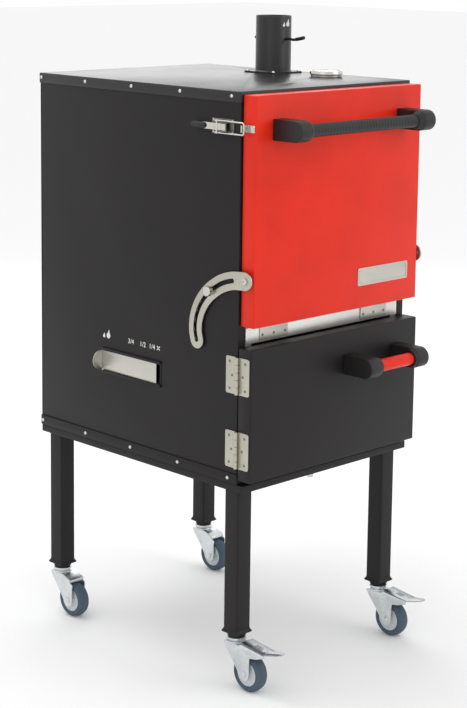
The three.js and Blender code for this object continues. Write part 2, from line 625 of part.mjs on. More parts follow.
// A band of even width with round ends, along part of a curve.
function band(curve, from, to, halfBand, steps) {
  const left = [];
  const right = [];
  for (let i = 0; i <= steps; i += 1) {
    const u = from + ((to - from) * i) / steps;
    const point = curve.getPoint(u);
    const tangent = curve.getTangent(u);
    left.push([point.x - tangent.y * halfBand, point.y + tangent.x * halfBand]);
    right.push([point.x + tangent.y * halfBand, point.y - tangent.x * halfBand]);
  }
  const cap = (u, start) => {
    const centre = curve.getPoint(u);
    const arc = [];
    for (let i = 1; i < 6; i += 1) {
      const angle = start - (Math.PI * i) / 6;
      arc.push([centre.x + halfBand * Math.cos(angle), centre.y + halfBand * Math.sin(angle)]);
    }
    return arc;
  };
  const heading = (u) => Math.atan2(curve.getTangent(u).y, curve.getTangent(u).x);
  const outline = [...left, ...cap(to, heading(to) + Math.PI / 2), ...right.reverse(),
    ...cap(from, heading(from) - Math.PI / 2)];
  return polygon(outline);
}

function stayGeometry(side) {
  const curve = spine();
  const slotFrom = 1 / (curve.points.length - 1);
  const x0 = side > 0 ? stayPlane : -stayPlane - stay.thickness;
  const plate = alongX(band(curve, 0, 1, stay.halfWidth, 16), x0, stay.thickness);
  const slot = alongX(band(curve, slotFrom, 1, stay.slotHalfWidth, 14), x0 - 1, stay.thickness + 2);
  return cut(plate, slot, bar('x', 4 + GAP, x0 - 1, x0 + stay.thickness + 1, pivot.x, pivot.y, 12));
}

// Shoulder bolt on the door and thumb screw on the cabinet, turned about X and pointing out of each side.
function sideTurned(profile, side, at, sides = 12) {
  return turned(profile, sides).rotateY((side * Math.PI) / 2).translate(0, at.x, at.y);
}

const stayOuter = stayPlane + stay.thickness;
for (const [sideName, side] of [['left', -1], ['right', 1]]) {
  add(`stay_${sideName}`, stayGeometry(side), stainless);
  const doorSide = upperDoor.width / 2;
  add(`stay_bolt_${sideName}`, sideTurned([[0, doorSide + GAP], [8, doorSide + GAP], [8, stayPlane - GAP],
    [4, stayPlane - GAP], [4, stayOuter + GAP], [7, stayOuter + GAP], [5.5, stayOuter + 3.5],
    [0, stayOuter + 3.5]], side, pivot), zinc);
  add(`thumb_screw_${sideName}`, sideTurned([[0, halfWidth + GAP], [thumbScrew.collarRadius, halfWidth + GAP],
    [thumbScrew.collarRadius, stayPlane - GAP], [stayPin.radius, stayPlane - GAP],
    [stayPin.radius, stayOuter + GAP], [thumbScrew.flangeRadius, stayOuter + GAP],
    [thumbScrew.flangeRadius, stayOuter + 3], [thumbScrew.headRadius, stayOuter + 4],
    [thumbScrew.headRadius, stayOuter + 3 + thumbScrew.headLength],
    [thumbScrew.headRadius - 2, stayOuter + 4.5 + thumbScrew.headLength],
    [0, stayOuter + 4.5 + thumbScrew.headLength]], side, pin, 14), zinc);
}

// ---------------------------------------------------------------- toggle latch
const leverPivot = { x: -halfWidth - latch.pivotOut, y: front + latch.pivotBehindFront };
const bailPivotY = leverPivot.y + latch.throw;
const hookY = doorBack - 9;

function latchBase() {
  const inner = -halfWidth - GAP;
  const cheek = latchLever.halfWidth + GAP + 0.1;
  const pieces = [
    box(inner - 2, front + 16, latchLevel - latch.width / 2, inner, front + 79, latchLevel + latch.width / 2),
  ];
  for (const side of [-1, 1]) {
    const z0 = side > 0 ? latchLevel + cheek : latchLevel - cheek - 1.8;
    pieces.push(box(leverPivot.x - 5, leverPivot.y - 10, z0, inner - 1, leverPivot.y + 12, z0 + 1.8));
  }
  pieces.push(bar('z', 2, latchLevel - cheek - 1, latchLevel + cheek + 1, leverPivot.x, leverPivot.y, 10));
  return join(...pieces);
}

function latchLeverGeometry() {
  const w = latchLever.halfWidth;
  const gripFrom = front + latchLever.gripStart;
  const gripTo = front + latchLever.gripEnd;
  const hub = bar('z', 5, latchLevel - w, latchLevel + w, leverPivot.x, leverPivot.y, 14);
  const strap = box(leverPivot.x - 1.5, leverPivot.y - 1, latchLevel - w, leverPivot.x + 1.5, gripFrom + 4,
    latchLevel + w);
  const eye = bar('z', 4, latchLevel - w, latchLevel + w, leverPivot.x, bailPivotY, 12);
  const studs = bar('z', 2, latchLevel - latch.halfSpan - 2.4, latchLevel + latch.halfSpan + 2.4,
    leverPivot.x, bailPivotY, 10);
  const grip = turned([[0, gripFrom], [latchLever.gripRadius - 1.5, gripFrom], [latchLever.gripRadius, gripFrom + 8],
    [latchLever.gripRadius, gripTo - 5], [latchLever.gripRadius - 3, gripTo], [0, gripTo]], 16)
    .rotateX(-Math.PI / 2).translate(leverPivot.x, 0, latchLevel);
  return cut(join(hub, strap, eye, studs, grip), bar('z', 2 + GAP, latchLevel - 20, latchLevel + 20,
    leverPivot.x, leverPivot.y, 10));
}

function latchBail() {
  const barX = leverPivot.x + 1.5;
  const barY = hookY - 5.2;
  const s = latch.halfSpan;
  const points = [[leverPivot.x, bailPivotY - 4, -s], [leverPivot.x + 0.5, bailPivotY - 30, -s],
    [barX, barY + 14, -s], [barX, barY + 5, -s + 0.6], [barX, barY + 0.6, -s + 4], [barX, barY, 0],
    [barX, barY + 0.6, s - 4], [barX, barY + 5, s - 0.6], [barX, barY + 14, s],
    [leverPivot.x + 0.5, bailPivotY - 30, s], [leverPivot.x, bailPivotY - 4, s]];
  const loop = wire(points.map(([x, y, z]) => [x, y, latchLevel + z]), latch.wire, 26, 3);
  const eyes = [-s, s].map((z) => bar('z', 5, latchLevel + z - 1.9, latchLevel + z + 1.9, leverPivot.x,
    bailPivotY, 14));
  return cut(join(loop, ...eyes), bar('z', 2 + GAP, latchLevel - 20, latchLevel + 20, leverPivot.x,
    bailPivotY, 10));
}

function latchKeeper() {
  const inner = -upperDoor.width / 2 - GAP;
  const half = latch.halfSpan - latch.wire - 3;
  const plate = box(inner - 2, upperFront + 3, latchLevel - half, inner, hookY, latchLevel + half);
  const hook = box(leverPivot.x - 2, hookY - 2.4, latchLevel - half, inner - 1, hookY, latchLevel + half);
  return join(plate, hook);
}

add('latch_base', latchBase(), stainless);
add('latch_lever', latchLeverGeometry(), stainless);
add('latch_bail', latchBail(), stainless);
add('latch_keeper', latchKeeper(), stainless);

// ---------------------------------------------------------------- air intake
// Frame on the left panel with two lipped rails, and the slide between them with its half-round pull.
function airGuide() {
  const face = -halfWidth - GAP;
  const y0 = air.centreY - air.windowLength / 2 - 3;
  const y1 = air.centreY + air.windowLength / 2 + 3;
  const halfPlate = airPlate.height / 2 + GAP;
  const outer = halfPlate + airRail.lip;
  const railOut = face - airRail.frame - GAP - airPlate.thickness - GAP;
  const frame = cut(box(face - airRail.frame, y0, air.level - outer, face, y1, air.level + outer),
    airWindow(face - 10, face + 10, 0));
  const pieces = [frame];
  for (const side of [-1, 1]) {
    const wallLow = side > 0 ? air.level + halfPlate : air.level - outer;
    const lipLow = side > 0 ? air.level + halfPlate - airRail.lip : air.level - outer;
    pieces.push(box(railOut - 1, y0, wallLow, face - 0.5, y1, wallLow + airRail.lip));
    pieces.push(box(railOut - 1, y0, lipLow, railOut, y1, lipLow + 2 * airRail.lip));
  }
  return join(...pieces);
}

function airSlide() {
  const inner = -halfWidth - GAP - airRail.frame - GAP;
  const foldY = air.centreY + air.windowLength / 2 + 3 + GAP;
  const half = airPlate.height / 2;
  const plate = box(inner - airPlate.thickness, foldY - airPlate.length - 2, air.level - half, inner, foldY + 1.5,
    air.level + half);
  const pull = new THREE.Shape();
  const radius = air.windowHeight / 2;
  pull.absarc(0, 0, radius, 0, Math.PI, false);
  pull.lineTo(-radius, -5);
  pull.lineTo(radius, -5);
  const tab = extruded(pull, airPlate.thickness, 10);
  tab.rotateX(Math.PI / 2).rotateY(-Math.PI / 2).translate(inner - 3.5, foldY + 1.5, air.level);
  return join(plate, tab);
}

add('air_guide', airGuide(), charcoalPaint);
add('air_slide', airSlide(), stainless);

// ---------------------------------------------------------------- flue, damper and thermometer
const roof = cabinet.height;
const damperLevel = roof + damper.aboveRoof;

function fluePipe() {
  const top = roof + flue.aboveRoof;
  const half = flue.flange / 2;
  const flange = alongZ(roundedRectangle(flueX - half, flue.y - half, flueX + half, flue.y + half, 4),
    roof + GAP, flue.flangeThickness, 2);
  const pipe = flueTool(flue.radius, linerTop + GAP, top);
  const bore = flueTool(flue.radius - flue.wall, linerTop - 5, top + 5);
  const hole = bar('y', damper.rodRadius + GAP, flue.y - 60, flue.y + 60, flueX, damperLevel, 8);
  return cut(join(pipe, flange), bore, hole);
}

function damperGeometry() {
  const x = flueX;
  const y = flue.y;
  const reach = flue.radius + damper.frontReach;
  const rod = bar('y', damper.rodRadius, y - flue.radius - 14, y + flue.radius + damper.backReach, x,
    damperLevel, 8);
  const lever = wire([[x, y - flue.radius - 12, damperLevel], [x, y - flue.radius - 24, damperLevel - 1],
    [x, y - reach + 14, damperLevel + 2], [x, y - reach, damperLevel + 5]], damper.rodRadius, 7, 4);
  const plateRadius = flue.radius - flue.wall - damper.clearance;
  const disc = bar('x', plateRadius, x - damper.plate / 2, x + damper.plate / 2, y, damperLevel, 24);
  const nutY = y + flue.radius + 4;
  const nut = bar('y', 6, nutY, nutY + 5, x, damperLevel, 6);
  return join(rod, lever, disc, nut);
}

function thermometerCase() {
  const t = thermometer;
  return turned([[0, roof - t.stem], [t.stemRadius, roof - t.stem], [t.stemRadius, roof + GAP],
    [t.caseRadius, roof + GAP], [t.caseRadius, roof + 5], [t.bezelRadius, roof + 6], [t.bezelRadius, roof + 11],
    [t.bezelRadius - 2.5, roof + 13.5], [t.dialRadius, roof + 12], [t.dialRadius, roof + 9], [0, roof + 9]], 24)
    .translate(thermometerX, t.y, 0);
}

function pointerGeometry() {
  const x = thermometerX;
  const y = thermometer.y;
  const low = roof + 9 + GAP;
  const needle = polygon([[-1.4, -9], [1.4, -9], [0.5, 24], [-0.5, 24]]);
  const coldEnd = THREE.MathUtils.degToRad(thermometer.coldAngle);
  return join(alongZ(needle, low, 0.8), bar('z', 3, low, low + 1.4, 0, 0, 12)).rotateZ(coldEnd)
    .translate(x, y, 0);
}

add('flue_pipe', fluePipe(), charcoalPaint);
add('damper', damperGeometry(), charcoalPaint);
add('thermometer_case', thermometerCase(), stainless);
add('thermometer_pointer', pointerGeometry(), dialWhite);

// ---------------------------------------------------------------- whole object on its own origin
oven.updateMatrixWorld(true);
const extent = new THREE.Box3().setFromObject(oven, true);
oven.position.set(-(extent.min.x + extent.max.x) / 2, -(extent.min.y + extent.max.y) / 2, -floorLevel);

export default oven;
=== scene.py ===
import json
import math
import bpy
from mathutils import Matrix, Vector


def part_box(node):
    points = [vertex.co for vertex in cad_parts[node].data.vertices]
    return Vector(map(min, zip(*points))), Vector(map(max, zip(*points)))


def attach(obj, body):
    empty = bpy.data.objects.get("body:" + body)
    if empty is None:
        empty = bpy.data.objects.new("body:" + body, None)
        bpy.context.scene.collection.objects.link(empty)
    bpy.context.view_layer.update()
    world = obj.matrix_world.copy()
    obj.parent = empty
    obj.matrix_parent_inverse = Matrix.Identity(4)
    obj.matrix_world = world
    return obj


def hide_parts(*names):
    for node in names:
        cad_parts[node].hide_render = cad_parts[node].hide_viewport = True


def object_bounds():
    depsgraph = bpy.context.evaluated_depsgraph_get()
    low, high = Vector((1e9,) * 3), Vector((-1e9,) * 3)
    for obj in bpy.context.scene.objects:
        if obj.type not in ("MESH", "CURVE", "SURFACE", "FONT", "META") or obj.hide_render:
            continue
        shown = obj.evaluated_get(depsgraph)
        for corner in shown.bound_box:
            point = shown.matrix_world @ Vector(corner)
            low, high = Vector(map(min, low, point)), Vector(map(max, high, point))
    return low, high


bl_info = {
    "name": "Upright Charcoal Oven",
    "version": (1, 0, 0),
    "blender": (4, 5, 0),
    "location": "View3D > Sidebar > Oven",
    "description": "Builds the finished pieces of an upright charcoal oven around its solid frame",
    "category": "Object",
}

import bmesh
import bpy
from mathutils import Matrix, Vector

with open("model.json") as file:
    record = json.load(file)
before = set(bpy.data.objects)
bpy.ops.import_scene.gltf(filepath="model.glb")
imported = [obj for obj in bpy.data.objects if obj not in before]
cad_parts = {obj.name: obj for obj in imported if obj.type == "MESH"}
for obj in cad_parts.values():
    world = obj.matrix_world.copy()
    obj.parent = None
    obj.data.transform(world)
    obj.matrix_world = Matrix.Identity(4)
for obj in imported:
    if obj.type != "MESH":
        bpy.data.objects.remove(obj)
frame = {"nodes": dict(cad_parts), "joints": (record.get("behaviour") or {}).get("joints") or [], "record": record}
CAD_BOX = [list(corner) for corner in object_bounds()]
RECORD = frame["record"]
BODY_OF = {node: body for body, nodes in RECORD["behaviour"]["bodies"].items() for node in nodes}
JOINT = {joint["name"]: joint for joint in frame["joints"]}
MM = 0.001
CORNERS = [(end, side) for end in ("front", "back") for side in ("left", "right")]
SIDES = (("left", -1), ("right", 1))

base_low, base_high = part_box("base_cap")
# The middle of the base in plan, at its underside: every piece is placed in millimetres from here.
ORIGIN = Vector(((base_low.x + base_high.x) / 2, (base_low.y + base_high.y) / 2, base_low.z))


def at(x, y, z):
    return ORIGIN + Vector((x, y, z)) * MM


def box_mm(node):
    """A node's lowest and highest corners in millimetres from the origin of the base."""
    low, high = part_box(node)
    return (low - ORIGIN) / MM, (high - ORIGIN) / MM


def joint_mm(name):
    return (Vector(JOINT[name]["pos_m"]) - ORIGIN) / MM


# ------------------------------------------------------------------ sizes and colours
class OvenSizes(bpy.types.PropertyGroup):
    fold: bpy.props.FloatProperty(
        name="Fold radius", description="Radius of the folded outer edges of the sheet metal",
        default=0.0022, min=0.0002, max=0.004, precision=4, unit="LENGTH")
    edge: bpy.props.FloatProperty(
        name="Cut edge", description="Rounding of cut sheet edges",
        default=0.00045, min=0.00005, max=0.001, precision=5, unit="LENGTH")
    screw_pitch: bpy.props.FloatProperty(
        name="Screw pitch", description="Distance between the screws along the sides of the cap lips",
        default=0.15, min=0.06, max=0.3, unit="LENGTH")
    screw_radius: bpy.props.FloatProperty(
        name="Screw radius", description="Radius of the pan heads on the cap lips",
        default=0.0038, min=0.001, max=0.008, precision=4, unit="LENGTH")
    rib_pitch: bpy.props.FloatProperty(
        name="Rib pitch", description="Distance between the ribs of the oven door's grip",
        default=0.009, min=0.003, max=0.03, precision=4, unit="LENGTH")
    rack_bars: bpy.props.IntProperty(
        name="Rack bars", description="Number of bars in the grill rack", default=25, min=3, max=60)
    badge_width: bpy.props.FloatProperty(
        name="Badge width", description="Width of the plain plate on the oven door",
        default=0.16, min=0.03, max=0.3, unit="LENGTH")
    badge_height: bpy.props.FloatProperty(
        name="Badge height", description="Height of the plain plate on the oven door",
        default=0.038, min=0.02, max=0.1, unit="LENGTH")


class OvenColours(bpy.types.PropertyGroup):
    cabinet: bpy.props.FloatVectorProperty(
        name="Cabinet paint", description="Charcoal powder coat", subtype="COLOR", size=3,
        default=(0.0125, 0.0108, 0.0116))
    door: bpy.props.FloatVectorProperty(
        name="Door paint", description="Orange-red powder coat", subtype="COLOR", size=3,
        default=(0.67, 0.0225, 0.0075))
    handle: bpy.props.FloatVectorProperty(
        name="Handle", description="Black moulded handle parts", subtype="COLOR", size=3,
        default=(0.013, 0.013, 0.014))
    tyre: bpy.props.FloatVectorProperty(
        name="Tyre", description="Blue-grey caster rubber", subtype="COLOR", size=3,
        default=(0.062, 0.092, 0.125))
    print_ink: bpy.props.FloatVectorProperty(
        name="Printed marks", description="Off-white printed marks", subtype="COLOR", size=3,
        default=(0.75, 0.75, 0.72))


def size_mm(name):
    """A size from the sidebar in millimetres."""
    return getattr(bpy.context.scene.oven_sizes, name) / MM


def colours():
    return bpy.context.scene.oven_colours


# ------------------------------------------------------------------ shader groups
def new_group(name, inputs, outputs):
    """A shader node group with float or vector inputs and float outputs."""
    tree = bpy.data.node_groups.new(name, "ShaderNodeTree")
    for label, kind, value in inputs:
        socket = tree.interface.new_socket(label, in_out="INPUT", socket_type=kind)
        socket.default_value = value
    for label in outputs:
        tree.interface.new_socket(label, in_out="OUTPUT", socket_type="NodeSocketFloat")
    return tree, tree.nodes.new("NodeGroupInput"), tree.nodes.new("NodeGroupOutput")


def node(tree, kind, **settings):
    made = tree.nodes.new(kind)
    for key, value in settings.items():
        setattr(made, key, value)
    return made


def noise(tree, vector, scale, detail=3.0, roughness=0.55):
    made = node(tree, "ShaderNodeTexNoise")
    made.inputs["Detail"].default_value = detail
    made.inputs["Roughness"].default_value = roughness
    tree.links.new(vector, made.inputs["Vector"])
    if isinstance(scale, (int, float)):
        made.inputs["Scale"].default_value = scale
    else:
        tree.links.new(scale, made.inputs["Scale"])
    return made.outputs["Fac"]


def ranged(tree, value, low, high, to_low, to_high):
    made = node(tree, "ShaderNodeMapRange")
    tree.links.new(value, made.inputs["Value"])
    for label, number in (("From Min", low), ("From Max", high), ("To Min", to_low), ("To Max", to_high)):
        made.inputs[label].default_value = number
    return made.outputs["Result"]


def math_node(tree, operation, a, b):
    made = node(tree, "ShaderNodeMath", operation=operation)
    for socket, value in zip(made.inputs, (a, b)):
        if isinstance(value, (int, float)):
            socket.default_value = value
        else:
            tree.links.new(value, socket)
    return made.outputs["Value"]


def build_grain_group():
    """Fine orange-peel grain, slow patches of tone and small scuffs."""
    tree, given, out = new_group(
        "coat_grain", [("Grain Scale", "NodeSocketFloat", 900.0), ("Patch Scale", "NodeSocketFloat", 6.0)],
        ["Height", "Tone", "Scuff"])
    place = node(tree, "ShaderNodeTexCoord").outputs["Object"]
    fine = noise(tree, place, given.outputs["Grain Scale"], 2.0)
    patch = noise(tree, place, given.outputs["Patch Scale"], 4.0)
    tree.links.new(fine, out.inputs["Height"])
    tree.links.new(ranged(tree, patch, 0.3, 0.7, 0.0, 1.0), out.inputs["Tone"])
    scuffs = noise(tree, place, 38.0, 6.0, 0.7)
    tree.links.new(ranged(tree, scuffs, 0.62, 0.78, 0.0, 1.0), out.inputs["Scuff"])
    return tree


def build_brushed_group():
    """Straight brushing lines, long along one direction and close across it, with soft stains."""
    tree, given, out = new_group(
        "brushed_lines", [("Stretch", "NodeSocketVector", (1.0, 60.0, 60.0)),
                          ("Line Scale", "NodeSocketFloat", 30.0)], ["Height", "Tone", "Stain"])
    place = node(tree, "ShaderNodeTexCoord").outputs["Object"]
    stretch = node(tree, "ShaderNodeVectorMath", operation="MULTIPLY")
    tree.links.new(place, stretch.inputs[0])
    tree.links.new(given.outputs["Stretch"], stretch.inputs[1])
    lines = noise(tree, stretch.outputs["Vector"], given.outputs["Line Scale"], 4.0, 0.65)
    tree.links.new(lines, out.inputs["Height"])
    tree.links.new(ranged(tree, lines, 0.3, 0.7, 0.0, 1.0), out.inputs["Tone"])
    tree.links.new(ranged(tree, noise(tree, place, 14.0, 5.0), 0.45, 0.75, 0.0, 1.0), out.inputs["Stain"])
    return tree


# ------------------------------------------------------------------ materials
MATERIALS = {}


def start_material(name, metallic, group_name, **group_values):
    material = bpy.data.materials.new(name)
    material.use_nodes = True
    tree = material.node_tree
    shader = tree.nodes["Principled BSDF"]
    shader.inputs["Metallic"].default_value = metallic
    effect = node(tree, "ShaderNodeGroup", node_tree=bpy.data.node_groups[group_name])
    for label, value in group_values.items():
        effect.inputs[label.replace("_", " ")].default_value = value
    MATERIALS[name] = material
    return tree, shader, effect


def mixed_colour(tree, factor, first, second):
    mix = node(tree, "ShaderNodeMix", data_type="RGBA")
    tree.links.new(factor, mix.inputs["Factor"])
    for label, colour in (("A", first), ("B", second)):
        socket = next(s for s in mix.inputs if s.name == label and s.type == "RGBA")
        if isinstance(colour, bpy.types.NodeSocket):
            tree.links.new(colour, socket)
        else:
            socket.default_value = (*colour, 1.0)
    return next(s for s in mix.outputs if s.type == "RGBA")


def bumped(tree, shader, height, strength, distance):
    bump = node(tree, "ShaderNodeBump")
    bump.inputs["Strength"].default_value = strength
    bump.inputs["Distance"].default_value = distance
    tree.links.new(height, bump.inputs["Height"])
    tree.links.new(bump.outputs["Normal"], shader.inputs["Normal"])


def scaled(colour, factor):
    return tuple(min(1.0, channel * factor) for channel in colour)


def coated(name, colour, roughness, grain=900.0, bump=0.12, coat=0.0, specular=0.5):
    """Powder coat or moulded plastic: grained, a little uneven in tone, duller where it is scuffed."""
    tree, shader, effect = start_material(name, 0.0, "coat_grain", Grain_Scale=grain)
    tone = mixed_colour(tree, effect.outputs["Tone"], scaled(colour, 0.9), scaled(colour, 1.1))
    tree.links.new(tone, shader.inputs["Base Color"])
    worn = math_node(tree, "MULTIPLY", effect.outputs["Scuff"], 0.12)
    soft = math_node(tree, "MULTIPLY", effect.outputs["Tone"], 0.05)
    tree.links.new(math_node(tree, "ADD", math_node(tree, "ADD", worn, soft), roughness),
                   shader.inputs["Roughness"])
    shader.inputs["Specular IOR Level"].default_value = specular
    shader.inputs["Coat Weight"].default_value = coat
    shader.inputs["Coat Roughness"].default_value = 0.22
    bumped(tree, shader, effect.outputs["Height"], bump, 0.0004)


def metal(name, colour, roughness, stretch, lines=30.0, bump=0.06, stain=0.1):
    """Brushed or plated metal with straight lines, tone between them and soft duller stains."""
    tree, shader, effect = start_material(name, 1.0, "brushed_lines", Stretch=stretch, Line_Scale=lines)
    tone = mixed_colour(tree, effect.outputs["Tone"], scaled(colour, 0.9), scaled(colour, 1.06))
    stained = mixed_colour(tree, math_node(tree, "MULTIPLY", effect.outputs["Stain"], stain), tone,
                           scaled(colour, 0.55))
    tree.links.new(stained, shader.inputs["Base Color"])
    rough = math_node(tree, "MULTIPLY", effect.outputs["Tone"], 0.1)
    dull = math_node(tree, "MULTIPLY", effect.outputs["Stain"], 0.12)
    tree.links.new(math_node(tree, "ADD", math_node(tree, "ADD", rough, dull), roughness),
                   shader.inputs["Roughness"])
    bumped(tree, shader, effect.outputs["Height"], bump, 0.0003)


def build_finishes():
    build_grain_group()
    build_brushed_group()
    paint = colours()
    coated("charcoal_paint", paint.cabinet, 0.42, 1100.0, 0.1, 0.0, 0.22)
    coated("roof_paint", paint.cabinet, 0.3, 1100.0, 0.06, 0.0, 0.42)
    coated("red_paint", paint.door, 0.3, 700.0, 0.05, 0.03, 0.17)
    coated("black_plastic", paint.handle, 0.46, 1600.0, 0.3, 0.0, 0.35)
    coated("tyre_rubber", paint.tyre, 0.62, 1500.0, 0.25, 0.0, 0.3)
    coated("hub_plastic", (0.56, 0.59, 0.61), 0.42, 900.0, 0.1)
    coated("white_ink", paint.print_ink, 0.6, 1200.0, 0.05)
    coated("red_ink", (0.55, 0.02, 0.012), 0.5, 1200.0, 0.05)
    coated("dial_black", (0.02, 0.014, 0.013), 0.4, 900.0, 0.03)
    coated("cast_iron", (0.024, 0.022, 0.021), 0.72, 420.0, 0.6, 0.0, 0.3)
    coated("rope_gasket", (0.022, 0.021, 0.02), 0.9, 520.0, 0.9, 0.0, 0.15)
    coated("mineral_wool", (0.085, 0.075, 0.055), 0.95, 300.0, 1.0, 0.0, 0.1)
    metal("brushed_upright", (0.5, 0.48, 0.415), 0.3, (60.0, 60.0, 1.0))
    metal("brushed_level", (0.57, 0.56, 0.51), 0.3, (60.0, 1.0, 60.0))
    metal("brushed_cross", (0.55, 0.53, 0.48), 0.3, (1.0, 60.0, 60.0))
    # The hinge rail is a lighter copy of the hinges' brushed stainless: its extra brightness is a painted
    # highlight standing in for the white it reflects.
    metal("rail_painted_highlight", (0.8, 0.79, 0.76), 0.34, (1.0, 60.0, 60.0))
    metal("heated_steel", (0.42, 0.38, 0.33), 0.38, (60.0, 1.0, 60.0), 24.0, 0.08, 0.55)
    metal("bright_zinc", (0.7, 0.73, 0.74), 0.25, (9.0, 9.0, 9.0), 14.0, 0.05, 0.3)
    metal("pedal_zinc", (0.42, 0.44, 0.45), 0.24, (9.0, 9.0, 9.0), 18.0, 0.08, 0.5)
    metal("polished_steel", (0.62, 0.6, 0.55), 0.15, (12.0, 12.0, 1.0), 20.0, 0.03, 0.12)
    # The latch's base plate is steel made darker: the dark colour is a painted reflection of its dark
    # surroundings.
    metal("latch_plate_painted_reflection", (0.2, 0.19, 0.17), 0.22, (12.0, 12.0, 1.0), 20.0, 0.05, 0.4)
    metal("dark_screw", (0.2, 0.19, 0.175), 0.32, (9.0, 9.0, 9.0), 18.0, 0.05, 0.3)
    tree, shader, effect = start_material("dial_glass", 0.0, "coat_grain", Grain_Scale=60.0)
    shader.inputs["Base Color"].default_value = (0.95, 0.97, 0.97, 1.0)
    shader.inputs["Roughness"].default_value = 0.04
    shader.inputs["Transmission Weight"].default_value = 1.0
    shader.inputs["IOR"].default_value = 1.12
    bumped(tree, shader, effect.outputs["Height"], 0.02, 0.0002)


# ------------------------------------------------------------------ mesh helpers
def axis_frame(axis):
    """Turns (u, v, along) into row coordinates: along the named axis, u and v on the other two in order."""
    if axis == "x":
        return lambda u, v, w: Vector((w, u, v))
    if axis == "y":
        return lambda u, v, w: Vector((u, w, v))
    return lambda u, v, w: Vector((u, v, w))


def prism(bm, outline, axis, low, high, holes=()):
    """A flat plate: an outline with holes on the other two axes, from low to high along the axis."""
    place = axis_frame(axis)
    caps = ([], [])
    for loop in (outline, *holes):
        rings = [[bm.verts.new(place(u, v, w)) for u, v in loop] for w in (low, high)]
        count = len(loop)
        for i in range(count):
            j = (i + 1) % count
            bm.faces.new((rings[0][i], rings[0][j], rings[1][j], rings[1][i]))
        for ring, edges in zip(rings, caps):
            edges.extend(bm.edges.get((ring[i], ring[(i + 1) % count])) for i in range(count))
    for edges in caps:
        if holes:
            bmesh.ops.triangle_fill(bm, use_beauty=True, use_dissolve=False, edges=edges)
        else:
            bmesh.ops.contextual_create(bm, geom=edges)


def rounded(points, radius, steps=5):
    """A polygon with its corners rounded; radius is one value or one for each corner."""
    radii = radius if isinstance(radius, (list, tuple)) else [radius] * len(points)
    out = []
    count = len(points)
    for i, r in enumerate(radii):
        before, here, after = (Vector(points[(i + k) % count]) for k in (-1, 0, 1))
        a, b = (before - here), (after - here)
        half = a.angle(b) / 2
        if r <= 0 or half > math.pi / 2 - 0.02:
            out.append(tuple(here))
            continue
        reach = min(r / math.tan(half), a.length * 0.48, b.length * 0.48)
        start, end = here + a.normalized() * reach, here + b.normalized() * reach
        for k in range(steps + 1):
            t = k / steps
            out.append(tuple(start * (1 - t) ** 2 + here * 2 * t * (1 - t) + end * t ** 2))
    return out


def rectangle(u0, v0, u1, v1, radius=0.0, steps=5):
    return rounded([(u0, v0), (u1, v0), (u1, v1), (u0, v1)], radius, steps)


def circle(u, v, radius, count=32):
    return [(u + radius * math.cos(2 * math.pi * i / count), v + radius * math.sin(2 * math.pi * i / count))
            for i in range(count)]


def lathe(bm, profile, axis, centre, sides=48):
    """A turned piece. Each profile row is (radius, along) or (radius, along, ripple depth)."""
    place = axis_frame(axis)
    rings = []
    for row in profile:
        r, w = row[0], row[1]
        ripple = row[2] if len(row) > 2 else 0.0
        if r <= 1e-6:
            rings.append([bm.verts.new(place(centre[0], centre[1], w))])
            continue
        ring = []
        for i in range(sides):
            angle = 2 * math.pi * i / sides
            reach = r - ripple * (i % 2)
            ring.append(bm.verts.new(place(centre[0] + reach * math.cos(angle),
                                           centre[1] + reach * math.sin(angle), w)))
        rings.append(ring)
    for a, b in zip(rings, rings[1:]):
        if len(a) == 1 and len(b) == 1:
            continue
        for i in range(sides):
            j = (i + 1) % sides
            corners = [a[i % len(a)], a[j % len(a)], b[j % len(b)], b[i % len(b)]]
            unique = list(dict.fromkeys(corners))
            bm.faces.new(unique)


def rod(bm, points, radius, sides=14, closed=False, flat=1.0):
    """A round bar that follows points; flat squeezes it along the second section direction."""
    path = [Vector(p) for p in points]
    count = len(path)
    tangents = []
    for i in range(count):
        ahead = path[(i + 1) % count] if closed or i + 1 < count else path[i]
        behind = path[i - 1] if closed or i > 0 else path[i]
        tangents.append((ahead - behind).normalized())
    side = tangents[0].orthogonal().normalized()
    rings = []
    for point, tangent in zip(path, tangents):
        side = (side - tangent * side.dot(tangent)).normalized()
        other = tangent.cross(side)
        ring = []
        for k in range(sides):
            angle = 2 * math.pi * k / sides
            ring.append(bm.verts.new(point + side * math.cos(angle) * radius
                                     + other * math.sin(angle) * radius * flat))
        rings.append(ring)
    pairs = list(zip(rings, rings[1:])) + ([(rings[-1], rings[0])] if closed else [])
    for a, b in pairs:
        for k in range(sides):
            m = (k + 1) % sides
            bm.faces.new((a[k], a[m], b[m], b[k]))
    if not closed:
        bm.faces.new(rings[0])
        bm.faces.new(rings[-1])


def smooth_path(points, steps=8):
    """Catmull-Rom points through the given ones."""
    p = [Vector(q) for q in points]
    p = [p[0] * 2 - p[1], *p, p[-1] * 2 - p[-2]]
    out = []
    for i in range(1, len(p) - 2):
        for k in range(steps):
            t = k / steps
            a, b, c, d = p[i - 1:i + 3]
            out.append(0.5 * (b * 2 + (c - a) * t + (a * 2 - b * 5 + c * 4 - d) * t * t
                              + (b * 3 - a - c * 3 + d) * t ** 3))
    out.append(p[-2])
    return out


def sharp_edges(bm, degrees=28):
    limit = math.radians(degrees)
    return [e for e in bm.edges if len(e.link_faces) == 2 and e.calc_face_angle(0) > limit]


def round_edges(bm, width, segments=2, edges=None, degrees=28):
    chosen = sharp_edges(bm, degrees) if edges is None else edges
    if chosen:
        bmesh.ops.bevel(bm, geom=chosen, offset=width, offset_type="OFFSET", segments=segments, profile=0.5,
                        affect="EDGES", clamp_overlap=True)


def fresh():
    return bmesh.new()


